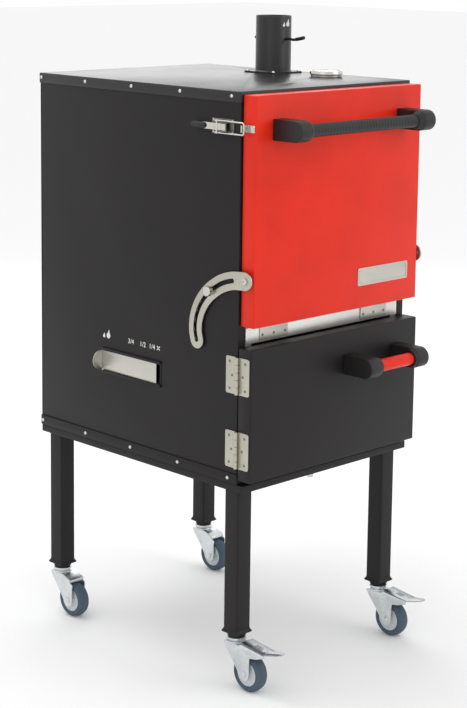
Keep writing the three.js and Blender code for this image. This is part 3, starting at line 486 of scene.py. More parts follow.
def to_piece(name, bm, material, body, nodes=(), angle=32):
    """Turns a mesh in millimetres into a finished piece of the oven, in its place, riding on its body."""
    bmesh.ops.remove_doubles(bm, verts=bm.verts, dist=0.0005)
    bmesh.ops.recalc_face_normals(bm, faces=bm.faces)
    bmesh.ops.transform(bm, matrix=Matrix.Translation(ORIGIN) @ Matrix.Scale(MM, 4), verts=bm.verts)
    mesh = bpy.data.meshes.new(name)
    bm.to_mesh(mesh)
    bm.free()
    mesh.materials.append(MATERIALS[material])
    mesh.polygons.foreach_set("use_smooth", [True] * len(mesh.polygons))
    mesh.set_sharp_from_angle(angle=math.radians(angle))
    adopt(name, mesh, body, nodes)


def adopt(name, mesh, body, nodes=()):
    """Puts a finished mesh in the scene: its body and the CAD nodes it stands for."""
    piece = bpy.data.objects.new(name, mesh)
    bpy.context.scene.collection.objects.link(piece)
    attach(piece, body)
    if nodes:
        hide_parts(*nodes)


def merged_copy(name):
    """A copy of a CAD node's mesh in millimetres with its triangles joined into flat faces."""
    bm = fresh()
    bm.from_mesh(frame["nodes"][name].data)
    bmesh.ops.transform(bm, matrix=Matrix.Scale(1 / MM, 4) @ Matrix.Translation(-ORIGIN), verts=bm.verts)
    bmesh.ops.remove_doubles(bm, verts=bm.verts, dist=0.002)
    bmesh.ops.dissolve_limit(bm, angle_limit=math.radians(0.6), verts=bm.verts, edges=bm.edges)
    return bm


def refined(node_name, material, width=None, fold=None, open_side=None):
    """A CAD node with its cut edges rounded, and its outer folds rounded more.

    open_side is (axis index, 0 for the low side or 1 for the high one): edges there are not folds."""
    bm = merged_copy(node_name)
    low, high = box_mm(node_name)
    if fold:
        folds = []
        for edge in sharp_edges(bm, 60):
            outer = []
            for axis in range(3):
                for index, limit in enumerate((low[axis], high[axis])):
                    if all(abs(v.co[axis] - limit) < 0.05 for v in edge.verts):
                        outer.append((axis, index))
            if len(outer) >= 2 and open_side not in outer:
                folds.append(edge)
        round_edges(bm, fold, 3, folds)
    round_edges(bm, width or size_mm("edge"), 2, degrees=40 if fold else 28)
    to_piece(f"{node_name}_finished", bm, material, BODY_OF[node_name], [node_name])


def dress(name, material):
    """Gives a CAD node whose shape is already right its finish."""
    mesh = frame["nodes"][name].data
    mesh.materials.clear()
    mesh.materials.append(MATERIALS[material])


# ------------------------------------------------------------------ geometry nodes
def geometry_tree(name, inputs):
    tree = bpy.data.node_groups.new(name, "GeometryNodeTree")
    tree.interface.new_socket("Geometry", in_out="INPUT", socket_type="NodeSocketGeometry")
    for label, kind, value in inputs:
        socket = tree.interface.new_socket(label, in_out="INPUT", socket_type=kind)
        if value is not None:
            socket.default_value = value
    tree.interface.new_socket("Geometry", in_out="OUTPUT", socket_type="NodeSocketGeometry")
    return tree, tree.nodes.new("NodeGroupInput"), tree.nodes.new("NodeGroupOutput")


def end_tree(tree, given, out, instances):
    real = node(tree, "GeometryNodeRealizeInstances")
    paint = node(tree, "GeometryNodeSetMaterial")
    tree.links.new(instances, real.inputs["Geometry"])
    tree.links.new(real.outputs["Geometry"], paint.inputs["Geometry"])
    tree.links.new(given.outputs["Material"], paint.inputs["Material"])
    tree.links.new(paint.outputs["Geometry"], out.inputs["Geometry"])


def build_fastener_tree():
    """Puts a head on every point, facing the point's own direction, each turned by its own amount."""
    tree, given, out = geometry_tree("fasteners", [
        ("Head", "NodeSocketObject", None), ("Size", "NodeSocketFloat", 1.0),
        ("Seed", "NodeSocketInt", 3), ("Material", "NodeSocketMaterial", None)])
    head = node(tree, "GeometryNodeObjectInfo")
    facing = node(tree, "GeometryNodeInputNamedAttribute", data_type="FLOAT_VECTOR")
    facing.inputs["Name"].default_value = "facing"
    align = node(tree, "FunctionNodeAlignRotationToVector", axis="Z")
    spin = node(tree, "FunctionNodeRandomValue", data_type="FLOAT")
    spin.inputs["Max"].default_value = math.pi
    turn = node(tree, "FunctionNodeAxisAngleToRotation")
    turn.inputs["Axis"].default_value = (0.0, 0.0, 1.0)
    both = node(tree, "FunctionNodeRotateRotation", rotation_space="LOCAL")
    place = node(tree, "GeometryNodeInstanceOnPoints")
    links = tree.links
    links.new(given.outputs["Head"], head.inputs["Object"])
    links.new(given.outputs["Seed"], spin.inputs["Seed"])
    links.new(facing.outputs["Attribute"], align.inputs["Vector"])
    random_value = next(s for s in spin.outputs if s.type == "VALUE" and s.enabled)
    links.new(random_value, turn.inputs["Angle"])
    links.new(align.outputs["Rotation"], both.inputs["Rotation"])
    links.new(turn.outputs["Rotation"], both.inputs["Rotate By"])
    links.new(given.outputs["Geometry"], place.inputs["Points"])
    links.new(head.outputs["Geometry"], place.inputs["Instance"])
    links.new(both.outputs["Rotation"], place.inputs["Rotation"])
    links.new(given.outputs["Size"], place.inputs["Scale"])
    end_tree(tree, given, out, place.outputs["Instances"])


def build_bar_tree():
    """Turns every edge of the input into a round bar."""
    tree, given, out = geometry_tree("round_bars", [
        ("Radius", "NodeSocketFloat", 0.0025), ("Sides", "NodeSocketInt", 10),
        ("Material", "NodeSocketMaterial", None)])
    to_curve = node(tree, "GeometryNodeMeshToCurve")
    section = node(tree, "GeometryNodeCurvePrimitiveCircle", mode="RADIUS")
    skin = node(tree, "GeometryNodeCurveToMesh")
    skin.inputs["Fill Caps"].default_value = True
    links = tree.links
    links.new(given.outputs["Geometry"], to_curve.inputs["Mesh"])
    links.new(given.outputs["Radius"], section.inputs["Radius"])
    links.new(given.outputs["Sides"], section.inputs["Resolution"])
    links.new(to_curve.outputs["Curve"], skin.inputs["Curve"])
    links.new(section.outputs["Curve"], skin.inputs["Profile Curve"])
    end_tree(tree, given, out, skin.outputs["Mesh"])


def grown(name, mesh, tree_name, values, body, angle=32):
    """Runs a tree on a mesh and keeps the result as a plain piece."""
    source = bpy.data.objects.new(f"{name}_source", mesh)
    bpy.context.scene.collection.objects.link(source)
    modifier = source.modifiers.new("shape", "NODES")
    modifier.node_group = bpy.data.node_groups[tree_name]
    for item in modifier.node_group.interface.items_tree:
        if item.item_type == "SOCKET" and item.in_out == "INPUT" and item.name in values:
            modifier[item.identifier] = values[item.name]
    bpy.context.view_layer.update()
    result = bpy.data.meshes.new_from_object(source.evaluated_get(bpy.context.evaluated_depsgraph_get()))
    source.modifiers.remove(modifier)
    bpy.data.objects.remove(source)
    result.name = name
    result.polygons.foreach_set("use_smooth", [True] * len(result.polygons))
    result.set_sharp_from_angle(angle=math.radians(angle))
    adopt(name, result, body)


# Each head's turned section as (radius, height), in head radii, and its number of sides.
HEAD_PROFILES = {
    "pan": ([(0, 0.5), (0.4, 0.5), (0.44, 0.78), (0.62, 0.8), (0.86, 0.62), (1, 0.3), (1, -0.1),
             (0, -0.1)], 20),
    "rivet": ([(0, 0.62), (0.35, 0.58), (0.7, 0.4), (0.94, 0.12), (1, -0.1), (0, -0.1)], 18),
    "flush": ([(0, 0.05), (0.2, 0.05), (0.32, 0.1), (0.9, 0.14), (1, 0.05), (1, -0.1), (0, -0.1)], 18),
}


def fasteners(name, kind, places, radius, material, body):
    """Screw or rivet heads; places holds (position in mm, direction it faces)."""
    profile, sides = HEAD_PROFILES[kind]
    bm = fresh()
    lathe(bm, profile, "z", (0, 0), sides)
    bmesh.ops.remove_doubles(bm, verts=bm.verts, dist=1e-5)
    bmesh.ops.recalc_face_normals(bm, faces=bm.faces)
    mesh = bpy.data.meshes.new(f"{kind}_head")
    bm.to_mesh(mesh)
    bm.free()
    head = bpy.data.objects.new(f"{kind}_head", mesh)
    bpy.context.scene.collection.objects.link(head)
    points = bpy.data.meshes.new(f"{name}_points")
    points.from_pydata([at(*p) for p, _ in places], [], [])
    facing = points.attributes.new("facing", "FLOAT_VECTOR", "POINT")
    facing.data.foreach_set("vector", [c for _, d in places for c in d])
    inputs = {"Head": head, "Size": radius * MM, "Seed": len(places), "Material": MATERIALS[material]}
    grown(name, points, "fasteners", inputs, body)
    bpy.data.objects.remove(head)


# ------------------------------------------------------------------ cabinet
def make_cabinet():
    fold = size_mm("fold")
    refined("roof_cap", "roof_paint", fold=fold, open_side=(2, 0))
    refined("base_cap", "charcoal_paint", fold=fold, open_side=(2, 1))
    refined("left_panel", "charcoal_paint", fold=fold)
    refined("right_panel", "charcoal_paint", fold=fold)
    refined("back_panel", "charcoal_paint")
    make_leg_frame()
    # The rail gets the lighter stainless copy, whose extra brightness is a painted highlight.
    refined("hinge_rail", "rail_painted_highlight")
    make_lip_screws()


def make_lip_screws():
    """Pan heads along the lips of the roof and the base, on both sides and the back."""
    low, high = box_mm("roof_cap")
    below_roof, above_base = 10, 11.5
    side_middle = 8
    side_places = [side_middle + k * size_mm("screw_pitch") for k in (-2, -1, 0, 1, 2)]
    back_places = (-215, -108, 0, 108, 215)
    places = []
    for z in (high.z - below_roof, above_base):
        for y in side_places:
            places += [((low.x, y, z), (-1, 0, 0)), ((high.x, y, z), (1, 0, 0))]
        places += [((x, high.y, z), (0, 1, 0)) for x in back_places]
    fasteners("lip_screws", "pan", places, size_mm("screw_radius"), "bright_zinc", "cabinet")


def make_leg_frame():
    """The bar frame under the base, with a bar flush with the cabinet and a sill under the fire door."""
    bm = merged_copy("leg_frame")
    low, high = box_mm("leg_frame")
    base_low, base_high = box_mm("base_cap")
    inset, depth, sill, gap, corner = 1.5, 15.2, 15, 0.05, 3
    outer = fresh()
    prism(outer, rectangle(base_low.x + inset, base_low.y - sill, base_high.x - inset, base_high.y - inset,
                           corner, 4), "z", -depth, high.z,
          [rectangle(low.x - gap, low.y - gap, high.x + gap, high.y + gap)])
    append_mesh(bm, outer)
    round_edges(bm, 0.8, 2, degrees=60)
    to_piece("leg_frame_finished", bm, "charcoal_paint", "cabinet", ["leg_frame"])


def make_inside():
    dress("liner", "heated_steel")
    dress("insulation", "mineral_wool")
    refined("charcoal_grate", "cast_iron", width=1.2)
    refined("ash_pan", "heated_steel")
    make_rack()


def make_rack():
    """Round bars across a bent frame bar."""
    low, high = box_mm("grill_rack")
    level = (low.z + high.z) / 2
    frame_radius, bar_radius, bar_rise, corner = 4.0, 2.6, 1, 12
    x0, x1 = low.x + frame_radius, high.x - frame_radius
    y0, y1 = low.y + frame_radius, high.y - frame_radius
    count = bpy.context.scene.oven_sizes.rack_bars
    verts, edges = [], []
    for i in range(1, count + 1):
        x = x0 + (x1 - x0) * i / (count + 1)
        verts += [at(x, y0, level + bar_rise), at(x, y1, level + bar_rise)]
        edges.append((len(verts) - 2, len(verts) - 1))
    mesh = bpy.data.meshes.new("rack_bars")
    mesh.from_pydata(verts, edges, [])
    grown("rack_bars", mesh, "round_bars",
          {"Radius": bar_radius * MM, "Sides": 12, "Material": MATERIALS["polished_steel"]}, "cabinet")
    bm = fresh()
    rod(bm, [(x, y, level) for x, y in rectangle(x0, y0, x1, y1, corner, 6)], frame_radius, 14, closed=True)
    to_piece("rack_frame", bm, "polished_steel", "cabinet", ["grill_rack"])


# ------------------------------------------------------------------ stand
def make_stand():
    screws = []
    reach, rise, radius = 19.4, 4.5, 2.4
    for end, side in CORNERS:
        tag = f"{end}_{side}"
        low, high = box_mm(f"leg_{tag}")
        x, y = (low.x + high.x) / 2, (low.y + high.y) / 2
        make_leg(tag, x, y, low.z, high.z)
        for dx, dy in ((-1, 0), (0, -1), (1, 0), (0, 1)):
            screws.append(((x + dx * reach, y + dy * reach, low.z + rise), (dx, dy, -0.15)))
    fasteners("foot_screws", "pan", screws, radius, "charcoal_paint", "cabinet")


# The foot's flare as (how far it stands out past the tube, height above its underside).
FOOT_FLARE = [(0.2, 18), (0.5, 16), (1.4, 14), (3.0, 11.5), (3.6, 10.2), (3.4, 9), (2.2, 8)]
# The round boss under it, as (radius, height).
FOOT_BOSS = [(0, 9), (20.5, 9), (20.8, 7), (19.5, 2.5), (18, 0.1), (0, 0.1)]


def make_leg(tag, x, y, bottom, top):
    """A square tube on a foot that flares out to a lip, with a round boss for the caster under it."""
    half, wall, corner, tube_end = 20, 2, 4.5, 15.5
    bm = fresh()
    prism(bm, rectangle(x - half, y - half, x + half, y + half, corner), "z", bottom + tube_end, top,
          [rectangle(x - half + wall, y - half + wall, x + half - wall, y + half - wall, corner - wall)])
    rings = []
    for grow, z in FOOT_FLARE:
        loop = rectangle(x - half - grow, y - half - grow, x + half + grow, y + half + grow, corner)
        rings.append([bm.verts.new((u, v, bottom + z)) for u, v in loop])
    for a, b in zip(rings, rings[1:]):
        for i in range(len(a)):
            j = (i + 1) % len(a)
            bm.faces.new((a[i], a[j], b[j], b[i]))
    bm.faces.new(rings[0])
    bm.faces.new(rings[-1])
    lathe(bm, [(r, bottom + z) for r, z in FOOT_BOSS], "z", (x, y), 40)
    to_piece(f"leg_{tag}_finished", bm, "charcoal_paint", "cabinet", [f"leg_{tag}"])


def make_casters():
    for end, side in CORNERS:
        tag = f"{end}_{side}"
        braked = end == "front"
        pivot, axle = joint_mm(f"swivel_{tag}"), joint_mm(f"wheel_{tag}")
        make_fork(tag, pivot, axle, braked)
        make_wheel(tag, axle)
        if braked:
            make_pedal(side, pivot)


# The swivel head's section as (radius, depth below its top).
SWIVEL_HEAD = [(0, 0.1), (19, 0.1), (20.4, 0.8), (20.4, 4.2), (19.6, 5), (18, 5.4), (18, 7), (19.5, 7.6),
               (21.4, 8.4), (22, 9.6), (22, 11.6), (21.2, 13), (0, 13)]
AXLE_NUT = [(0, 22.9), (6.6, 22.9), (7.4, 22.2), (7.4, 19.6), (0, 19.6)]
PEDAL_PIN = [(0, 21.3), (2.2, 21.2), (3, 20.6), (3, 19.8), (2, 19.8)]


def make_fork(tag, pivot, axle, braked):
    """A pressed fork under a swivel head: two cheeks joined by a hood, with the axle and its nuts."""
    x, y, top = pivot
    bm = fresh()
    lathe(bm, [(r, top - d) for r, d in SWIVEL_HEAD], "z", (x, y), 48)
    cheek = [(y + u, v) for u, v in cheek_outline(top, axle.z, braked)]
    cheek_inside, sheet = 17.5, 2.5
    for x0 in (-cheek_inside - sheet, cheek_inside):
        plate = fresh()
        prism(plate, cheek, "x", x + x0, x + x0 + sheet)
        round_edges(plate, 0.7, 2)
        append_mesh(bm, plate)
    hood = [(18, 10), (-24, 10)]
    if braked:
        hood += [(-24, 13)]
    else:
        hood += [(-46, 16.5), (-50, 20), (-50, 26), (-47.6, 26), (-47.4, 21), (-45, 19.4), (-24, 13)]
    hood += [(18, 13)]
    plate = fresh()
    prism(plate, [(y + u, top - d) for u, d in hood], "x", x - cheek_inside - sheet, x + cheek_inside + sheet)
    round_edges(plate, 0.8, 2)
    append_mesh(bm, plate)
    centre = (axle.y, axle.z)
    lathe(bm, [(0, x - 23.8), (4.6, x - 23.8), (5, x - 23.2), (5, x - 20)], "x", centre, 24)
    for sign in (-1, 1):
        lathe(bm, [(r, x + sign * w) for r, w in AXLE_NUT], "x", centre, 6)
    lathe(bm, [(0, x - 21), (4, x - 21), (4, x + 21), (0, x + 21)], "x", centre, 20)
    if braked:
        pin = [(r, x - w) for r, w in PEDAL_PIN] + [(r, x + w) for r, w in reversed(PEDAL_PIN)]
        lathe(bm, pin, "x", (y - 47, top - 19), 18)
    to_piece(f"caster_fork_{tag}_finished", bm, "bright_zinc", f"caster_{tag}",
             [f"caster_fork_{tag}"])


def cheek_outline(top, axle_level, braked):
    """A cheek's outline as (along Y from the swivel, Z): round at the axle, longer where it holds a pedal."""
    outline = [(18, top - 11.5), (-24, top - 11.5)]
    radii = [3, 4]
    if braked:
        outline += [(-33, top - 6), (-96, top - 12), (-99, top - 17), (-76, top - 26)]
        radii += [4, 3, 3, 8]
    else:
        outline += [(-46, top - 17), (-50, top - 21), (-50, top - 26)]
        radii += [3, 2, 1]
    outline += [(-57, top - 29)]
    radii += [6]
    trail, end_radius, steps = 42, 14, 10
    for k in range(steps + 1):
        angle = math.pi * (1 + 0.85 * k / steps)
        outline.append((-trail + end_radius * math.cos(angle), axle_level + end_radius * math.sin(angle)))
        radii.append(0)
    outline += [(-8, top - 45), (14, top - 20)]
    radii += [20, 10]
    return rounded(outline, radii, 5)


def append_mesh(bm, other):
    """Adds another mesh's faces to this one and frees it."""
    mesh = bpy.data.meshes.new("part")
    other.to_mesh(mesh)
    other.free()
    bm.from_mesh(mesh)
    bpy.data.meshes.remove(mesh)


# Half of the tyre's section as (radius, distance from its middle): the bore, a ridge, a groove and the tread.
TYRE_HALF = [(26.3, 11), (26.9, 12.6), (28.4, 13.2), (29.2, 12.7), (29.9, 12.9), (31.4, 14.1), (33.2, 14.4),
             (35.2, 13.6), (37.2, 11.4), (38.5, 8.2), (39.2, 4.4), (39.6, 1.2)]
# Half of the hub's: its bore, a dished face and the rim that holds the tyre.
HUB_HALF = [(4.5, 16.2), (8.6, 16.2), (9.4, 15.4), (10, 11.5), (12, 10.4), (21.5, 10), (22.6, 10.8),
            (23.4, 12.2), (25.4, 12.6), (26.8, 11.6), (27.2, 10)]


def make_wheel(tag, axle):
    body = f"roller_{tag}"
    turned_ring(f"tyre_{tag}", TYRE_HALF, 72, axle, "tyre_rubber", body, [f"wheel_{tag}"])
    turned_ring(f"hub_{tag}", HUB_HALF, 60, axle, "hub_plastic", body)


def turned_ring(name, half, sides, axle, material, body, nodes=()):
    """A ring turned about the axle, from one half of its section."""
    profile = [(r, axle.x - w) for r, w in half] + [(r, axle.x + w) for r, w in reversed(half)]
    bm = fresh()
    lathe(bm, profile + [profile[0]], "x", (axle.y, axle.z), sides)
    to_piece(name, bm, material, body, nodes)


def make_pedal(side, pivot):
    """A sloping brake pedal with cross ribs to grip and three rivets."""
    bm = merged_copy(f"brake_pedal_{side}")
    round_edges(bm, 0.6, 2)
    x, y, top = pivot
    slope = math.radians(6.5)

    def surface(along):
        return top - 3.5 - math.tan(slope) * (along - 30)

    for along in (58, 63, 68, 73):
        rod(bm, [(x - 6, y - along, surface(along)), (x + 6, y - along, surface(along))], 1.0, 10)
    to_piece(f"brake_pedal_{side}_finished", bm, "pedal_zinc", f"pedal_body_{side}",
             [f"brake_pedal_{side}"])
    upward = (0, -math.sin(slope), math.cos(slope))
    rivets = [((x + across, y - along, surface(along)), upward)
              for along, across in ((48, 0), (84, -6), (84, 6))]
    fasteners(f"pedal_rivets_{side}", "rivet", rivets, 2.4, "bright_zinc", f"pedal_body_{side}")


# ------------------------------------------------------------------ doors
def make_doors():
    fold = size_mm("fold")
    refined("upper_door_shell", "red_paint", fold=fold, open_side=(1, 1))
    refined("lower_door_shell", "charcoal_paint", fold=fold, open_side=(1, 1))
    refined("upper_door_inner", "heated_steel", width=0.7)
    refined("lower_door_inner", "heated_steel", width=0.7)
    for door in ("upper_door", "lower_door"):
        make_gasket(door)
    make_badge()


def make_gasket(door):
    """A flat loop of rope round the back of a door."""
    low, high = box_mm(f"{door}_shell")
    margin, width, thickness, sunk = 6, 11, 3.4, 0.4
    bore = margin + width
    bm = fresh()
    prism(bm, rectangle(low.x + margin, low.z + margin, high.x - margin, high.z - margin, 14, 6), "y",
          high.y - sunk, high.y + thickness,
          [rectangle(low.x + bore, low.z + bore, high.x - bore, high.z - bore, 8, 6)])
    round_edges(bm, 1.3, 3)
    to_piece(f"{door}_gasket", bm, "rope_gasket", door)


def make_badge():
    """A plain plate with a raised border, held by four rivets."""
    x, z, face = 138, 396, box_mm("upper_door_shell")[0].y
    half_w, half_h = size_mm("badge_width") / 2, size_mm("badge_height") / 2
    thickness, border_height = 1.6, 2.1

    def plate_outline(inset, radius):
        return rectangle(x - half_w + inset, z - half_h + inset, x + half_w - inset, z + half_h - inset,
                         radius, 6)

    bm = fresh()
    prism(bm, plate_outline(0, 5), "y", face - thickness, face + 0.5)
    round_edges(bm, 0.6, 2)
    border = fresh()
    prism(border, plate_outline(3, 3.5), "y", face - border_height, face - 1, [plate_outline(5, 2)])
    append_mesh(bm, border)
    to_piece("badge_plate", bm, "brushed_cross", "upper_door")
    inset = 9
    places = [((x + sx * (half_w - inset), face - thickness, z + sz * (half_h - inset)), (0, -1, 0))
              for sx in (-1, 1) for sz in (-1, 1)]
    fasteners("badge_rivets", "rivet", places, 1.9, "polished_steel", "upper_door")


# ------------------------------------------------------------------ handles
def handle_block(name, body, inward, collar):
    """A block with a round nose and the collar that takes the tube; inward is the way the collar points."""
    low, high = box_mm(name)
    width = high.x - low.x - collar
    x0 = low.x if inward > 0 else high.x - width
    middle = (low.z + high.z) / 2
    radius = (high.z - low.z) / 2
    nose = low.y + radius
    outline = [(high.y, middle - radius), (high.y, middle + radius)]
    outline += [(nose + radius * math.cos(a), middle + radius * math.sin(a)) for a in
                (math.pi * (0.5 + k / 20) for k in range(21))]
    bm = fresh()
    prism(bm, outline, "x", x0, x0 + width)
    round_edges(bm, 2.2, 3)
    edge = x0 + width if inward > 0 else x0
    steps = [(0, -6), (radius - 1.4, -6), (radius - 1.4, 0.4), (radius - 2, 1.4)]
    if collar > 10:
        steps += [(radius - 3.4, 4), (radius - 5.6, collar - 2.4), (radius - 6.6, collar - 0.9),
                  (radius - 7.4, collar - 0.3), (0, collar - 0.3)]
    else:
        steps += [(radius - 2, collar - 1.6), (radius - 3.2, collar - 0.4), (0, collar - 0.4)]
    lathe(bm, [(r, edge + inward * w) for r, w in steps], "x", (nose, middle), 56)
    to_piece(f"{name}_finished", bm, "black_plastic", body, [name])


def make_handles():
    for side, sign in SIDES:
        handle_block(f"upper_handle_bracket_{side}", "upper_door", -sign, 12)
        handle_block(f"lower_handle_bracket_{side}", "lower_door", -sign, 7)
    make_ribbed_grip()
    make_plain_grip()


def grip_tube(node_name):
    """A tube's two ends, the centre of its section and its radius."""
    low, high = box_mm(node_name)
    return low.x, high.x, ((low.y + high.y) / 2, (low.z + high.z) / 2), (high.z - low.z) / 2


def make_ribbed_grip():
    """The oven door's grip: soft ribs with shallow grooves between them."""
    start, end, centre, radius = grip_tube("upper_handle_tube")
    count = int((end - start) / size_mm("rib_pitch"))
    step = (end - start) / count
    profile = [(0, start - 2), (radius - 0.7, start - 2)]
    for i in range(count):
        x = start + i * step
        profile += [(radius - 0.35, x + 0.4), (radius - 0.05, x + 1.0), (radius, x + step / 2),
                    (radius - 0.05, x + step - 1.0), (radius - 0.35, x + step - 0.4)]
    profile += [(radius - 0.7, end + 2), (0, end + 2)]
    bm = fresh()
    lathe(bm, profile, "x", centre, 48)
    to_piece("upper_handle_grip", bm, "black_plastic", "upper_door", ["upper_handle_tube"])


def make_plain_grip():
    """The fire door's grip: a smooth painted tube, let into its blocks."""
    start, end, centre, radius = grip_tube("lower_handle_grip")
    bm = fresh()
    lathe(bm, [(0, start - 2), (radius - 0.4, start - 2), (radius - 0.3, start + 1), (radius, start + 3),
               (radius, end - 3), (radius - 0.3, end - 1), (radius - 0.4, end + 2), (0, end + 2)],
          "x", centre, 56)
    to_piece("lower_handle_grip_finished", bm, "red_paint", "lower_door", ["lower_handle_grip"])


# ------------------------------------------------------------------ hinges
def hinge_pair(fixed_node, moving_node, moving_body, axis, pivot, length, middle, radius, fixed_plate,
               moving_plate):
    """Two leaves on one pin. A plate is (outline across its thickness, axis of thickness, low, high)."""
    knuckles, play = 5, 0.2
    step = length / knuckles
    finish = "brushed_upright" if axis == "z" else "brushed_cross"
    for first, node_name, body, plate in ((0, fixed_node, "cabinet", fixed_plate),
                                          (1, moving_node, moving_body, moving_plate)):
        outline, thickness_axis, low, high = plate
        bm = fresh()
        prism(bm, outline, thickness_axis, low, high)
        round_edges(bm, 0.35, 2)
        for i in range(first, knuckles, 2):
            a = middle - length / 2 + i * step + (0.0 if i == 0 else play)
            b = middle - length / 2 + (i + 1) * step - (0.0 if i == knuckles - 1 else play)
            lathe(bm, [(0, a), (radius - 0.5, a), (radius, a + 0.5), (radius, b - 0.5), (radius - 0.5, b),
                       (0, b)], axis, pivot, 32)
        to_piece(f"{node_name}_finished", bm, finish, body, [node_name])


def make_hinges():
    """Both doors' hinges, with their flush screws grouped by the body that they hold to."""
    cabinet_screws, oven_door_screws, fire_door_screws = [], [], []
    for side in ("left", "right"):
        make_edge_hinge(side, cabinet_screws, oven_door_screws)
    for level in ("bottom", "top"):
        make_side_hinge(level, cabinet_screws, fire_door_screws)
    radius = 3.0
    fasteners("hinge_screws", "flush", cabinet_screws, radius, "dark_screw", "cabinet")
    fasteners("oven_door_hinge_screws", "flush", oven_door_screws, radius, "dark_screw", "upper_door")
    fasteners("fire_door_hinge_screws", "flush", fire_door_screws, radius, "dark_screw", "lower_door")


LEAF = 2  # thickness of a hinge leaf


def make_edge_hinge(side, fixed_screws, moving_screws):
    """A hinge under the oven door: one leaf on the rail, one under the door's bottom edge."""
    pivot = joint_mm("door_upper")
    low, high = box_mm(f"upper_hinge_leaf_{side}")
    door_low, door_high = box_mm(f"upper_hinge_door_leaf_{side}")
    middle, reach = (low.x + high.x) / 2, 3.2
    edge_z, edge_y = pivot.z - reach, pivot.y - reach
    fixed = [(low.x, low.z), (high.x, low.z), (high.x, edge_z), (low.x, edge_z)]
    moving = [(low.x, door_low.y), (high.x, door_low.y), (high.x, edge_y), (low.x, edge_y)]
    hinge_pair(f"upper_hinge_leaf_{side}", f"upper_hinge_door_leaf_{side}", "upper_door", "x",
               (pivot.y, pivot.z), high.x - low.x, middle, 3.5,
               (rounded(fixed, [3, 3, 0, 0]), "y", high.y - LEAF, high.y),
               (rounded(moving, [3, 3, 0, 0]), "z", door_high.z - LEAF, door_high.z))
    for dx in (-33, 0, 33):
        fixed_screws.append(((middle + dx, high.y - LEAF, low.z + 11), (0, -1, 0)))
        moving_screws.append(((middle + dx, door_low.y + 10, door_high.z - LEAF), (0, 0, -1)))


def make_side_hinge(level, fixed_screws, moving_screws):
    """A hinge of the fire door, on the cabinet's left side."""
    pivot = joint_mm("door_lower")
    low, high = box_mm(f"side_hinge_leaf_{level}")
    door_low = box_mm(f"side_hinge_door_leaf_{level}")[0]
    middle, face, reach = (low.z + high.z) / 2, high.x, 3.6
    fixed = [(pivot.y + reach, low.z), (high.y, low.z), (high.y, high.z), (pivot.y + reach, high.z)]
    moving = [(door_low.y, low.z), (pivot.y - reach, low.z), (pivot.y - reach, high.z), (door_low.y, high.z)]
    hinge_pair(f"side_hinge_leaf_{level}", f"side_hinge_door_leaf_{level}", "lower_door", "z",
               (pivot.x, pivot.y), high.z - low.z, middle, 4.2,
               (rounded(fixed, [0, 5, 5, 0]), "x", face - LEAF, face),
               (rounded(moving, [5, 0, 0, 5]), "x", face - LEAF, face))
    for dz, along in ((-28, 22), (0, 15), (28, 22)):
        fixed_screws.append(((face - LEAF, pivot.y + along, middle + dz), (-1, 0, 0)))
        moving_screws.append(((face - LEAF, pivot.y - along, middle + dz), (-1, 0, 0)))


# ------------------------------------------------------------------ stays
def stay_spine(ratio, angle_range, count):
    """The slot's middle line: where the fixed pin lies in the stay as the oven door opens."""
    axis, pivot = joint_mm("door_upper"), joint_mm("stay_left")
    pin = joint_mm("thumb_screw_left")
    points = []
    for i in range(count + 1):
        turn = math.radians(angle_range) * i / count
        dy, dz = pivot.y - axis.y, pivot.z - axis.z
        y = axis.y + dy * math.cos(turn) - dz * math.sin(turn)
        z = axis.z + dy * math.sin(turn) + dz * math.cos(turn)
        oy, oz = pin.y - y, pin.z - z
        back = -turn * (1 + ratio)
        points.append(Vector((pivot.y + oy * math.cos(back) - oz * math.sin(back),
                              pivot.z + oy * math.sin(back) + oz * math.cos(back))))
    return Vector((pivot.y, pivot.z)), points


def band(points, half):
    """An even band with round ends around a line of points."""
    left, right = [], []
    for i, point in enumerate(points):
        ahead = points[min(i + 1, len(points) - 1)]
        behind = points[max(i - 1, 0)]
        tangent = (ahead - behind).normalized()
        across = Vector((-tangent.y, tangent.x))
        left.append(point + across * half)
        right.append(point - across * half)

    def cap(centre, start, steps=12):
        angles = [start - math.pi * k / steps for k in range(1, steps)]
        return [centre + half * Vector((math.cos(a), math.sin(a))) for a in angles]

    last, first = points[-1] - points[-2], points[1] - points[0]
    far_cap = cap(points[-1], math.atan2(last.y, last.x) + math.pi / 2)
    near_cap = cap(points[0], math.atan2(first.y, first.x) - math.pi / 2)
    return [tuple(p) for p in left + far_cap + right[::-1] + near_cap]


def make_stays():
    """Slotted stays, whose slot follows the fixed pin from where the curve leaves the pivot."""
    coupling = next(c for c in RECORD["behaviour"]["couplings"] if c["joint"] == "stay_left")
    open_angle, steps = 90, 6
    pivot, locus = stay_spine(coupling["ratio"], open_angle, steps)
    start, shoulder = pivot + Vector((34.7, -3.2)), pivot + Vector((66.5, -13.6))
    spine = [Vector((p.x, p.y)) for p in
             smooth_path([(p.x, p.y, 0) for p in (pivot, start, shoulder, *locus)], steps)]
    slot = spine[steps:]
    half_width, slot_half_width, hole = 18.5, 4.9, 4.3
    for side, sign in SIDES:
        low, high = box_mm(f"stay_{side}")
        bm = fresh()
        prism(bm, band(spine, half_width), "x", low.x, high.x,
              [band(slot, slot_half_width), circle(pivot.x, pivot.y, hole, 28)])
        round_edges(bm, 0.4, 2, degrees=50)
        to_piece(f"stay_{side}_finished", bm, "brushed_upright", f"stay_arm_{side}",
                 [f"stay_{side}"])
        inner, outer = (high.x, low.x) if sign < 0 else (low.x, high.x)
        make_stay_bolt(side, sign, pivot, inner, outer)
        make_thumb_screw(side, sign, inner, outer)


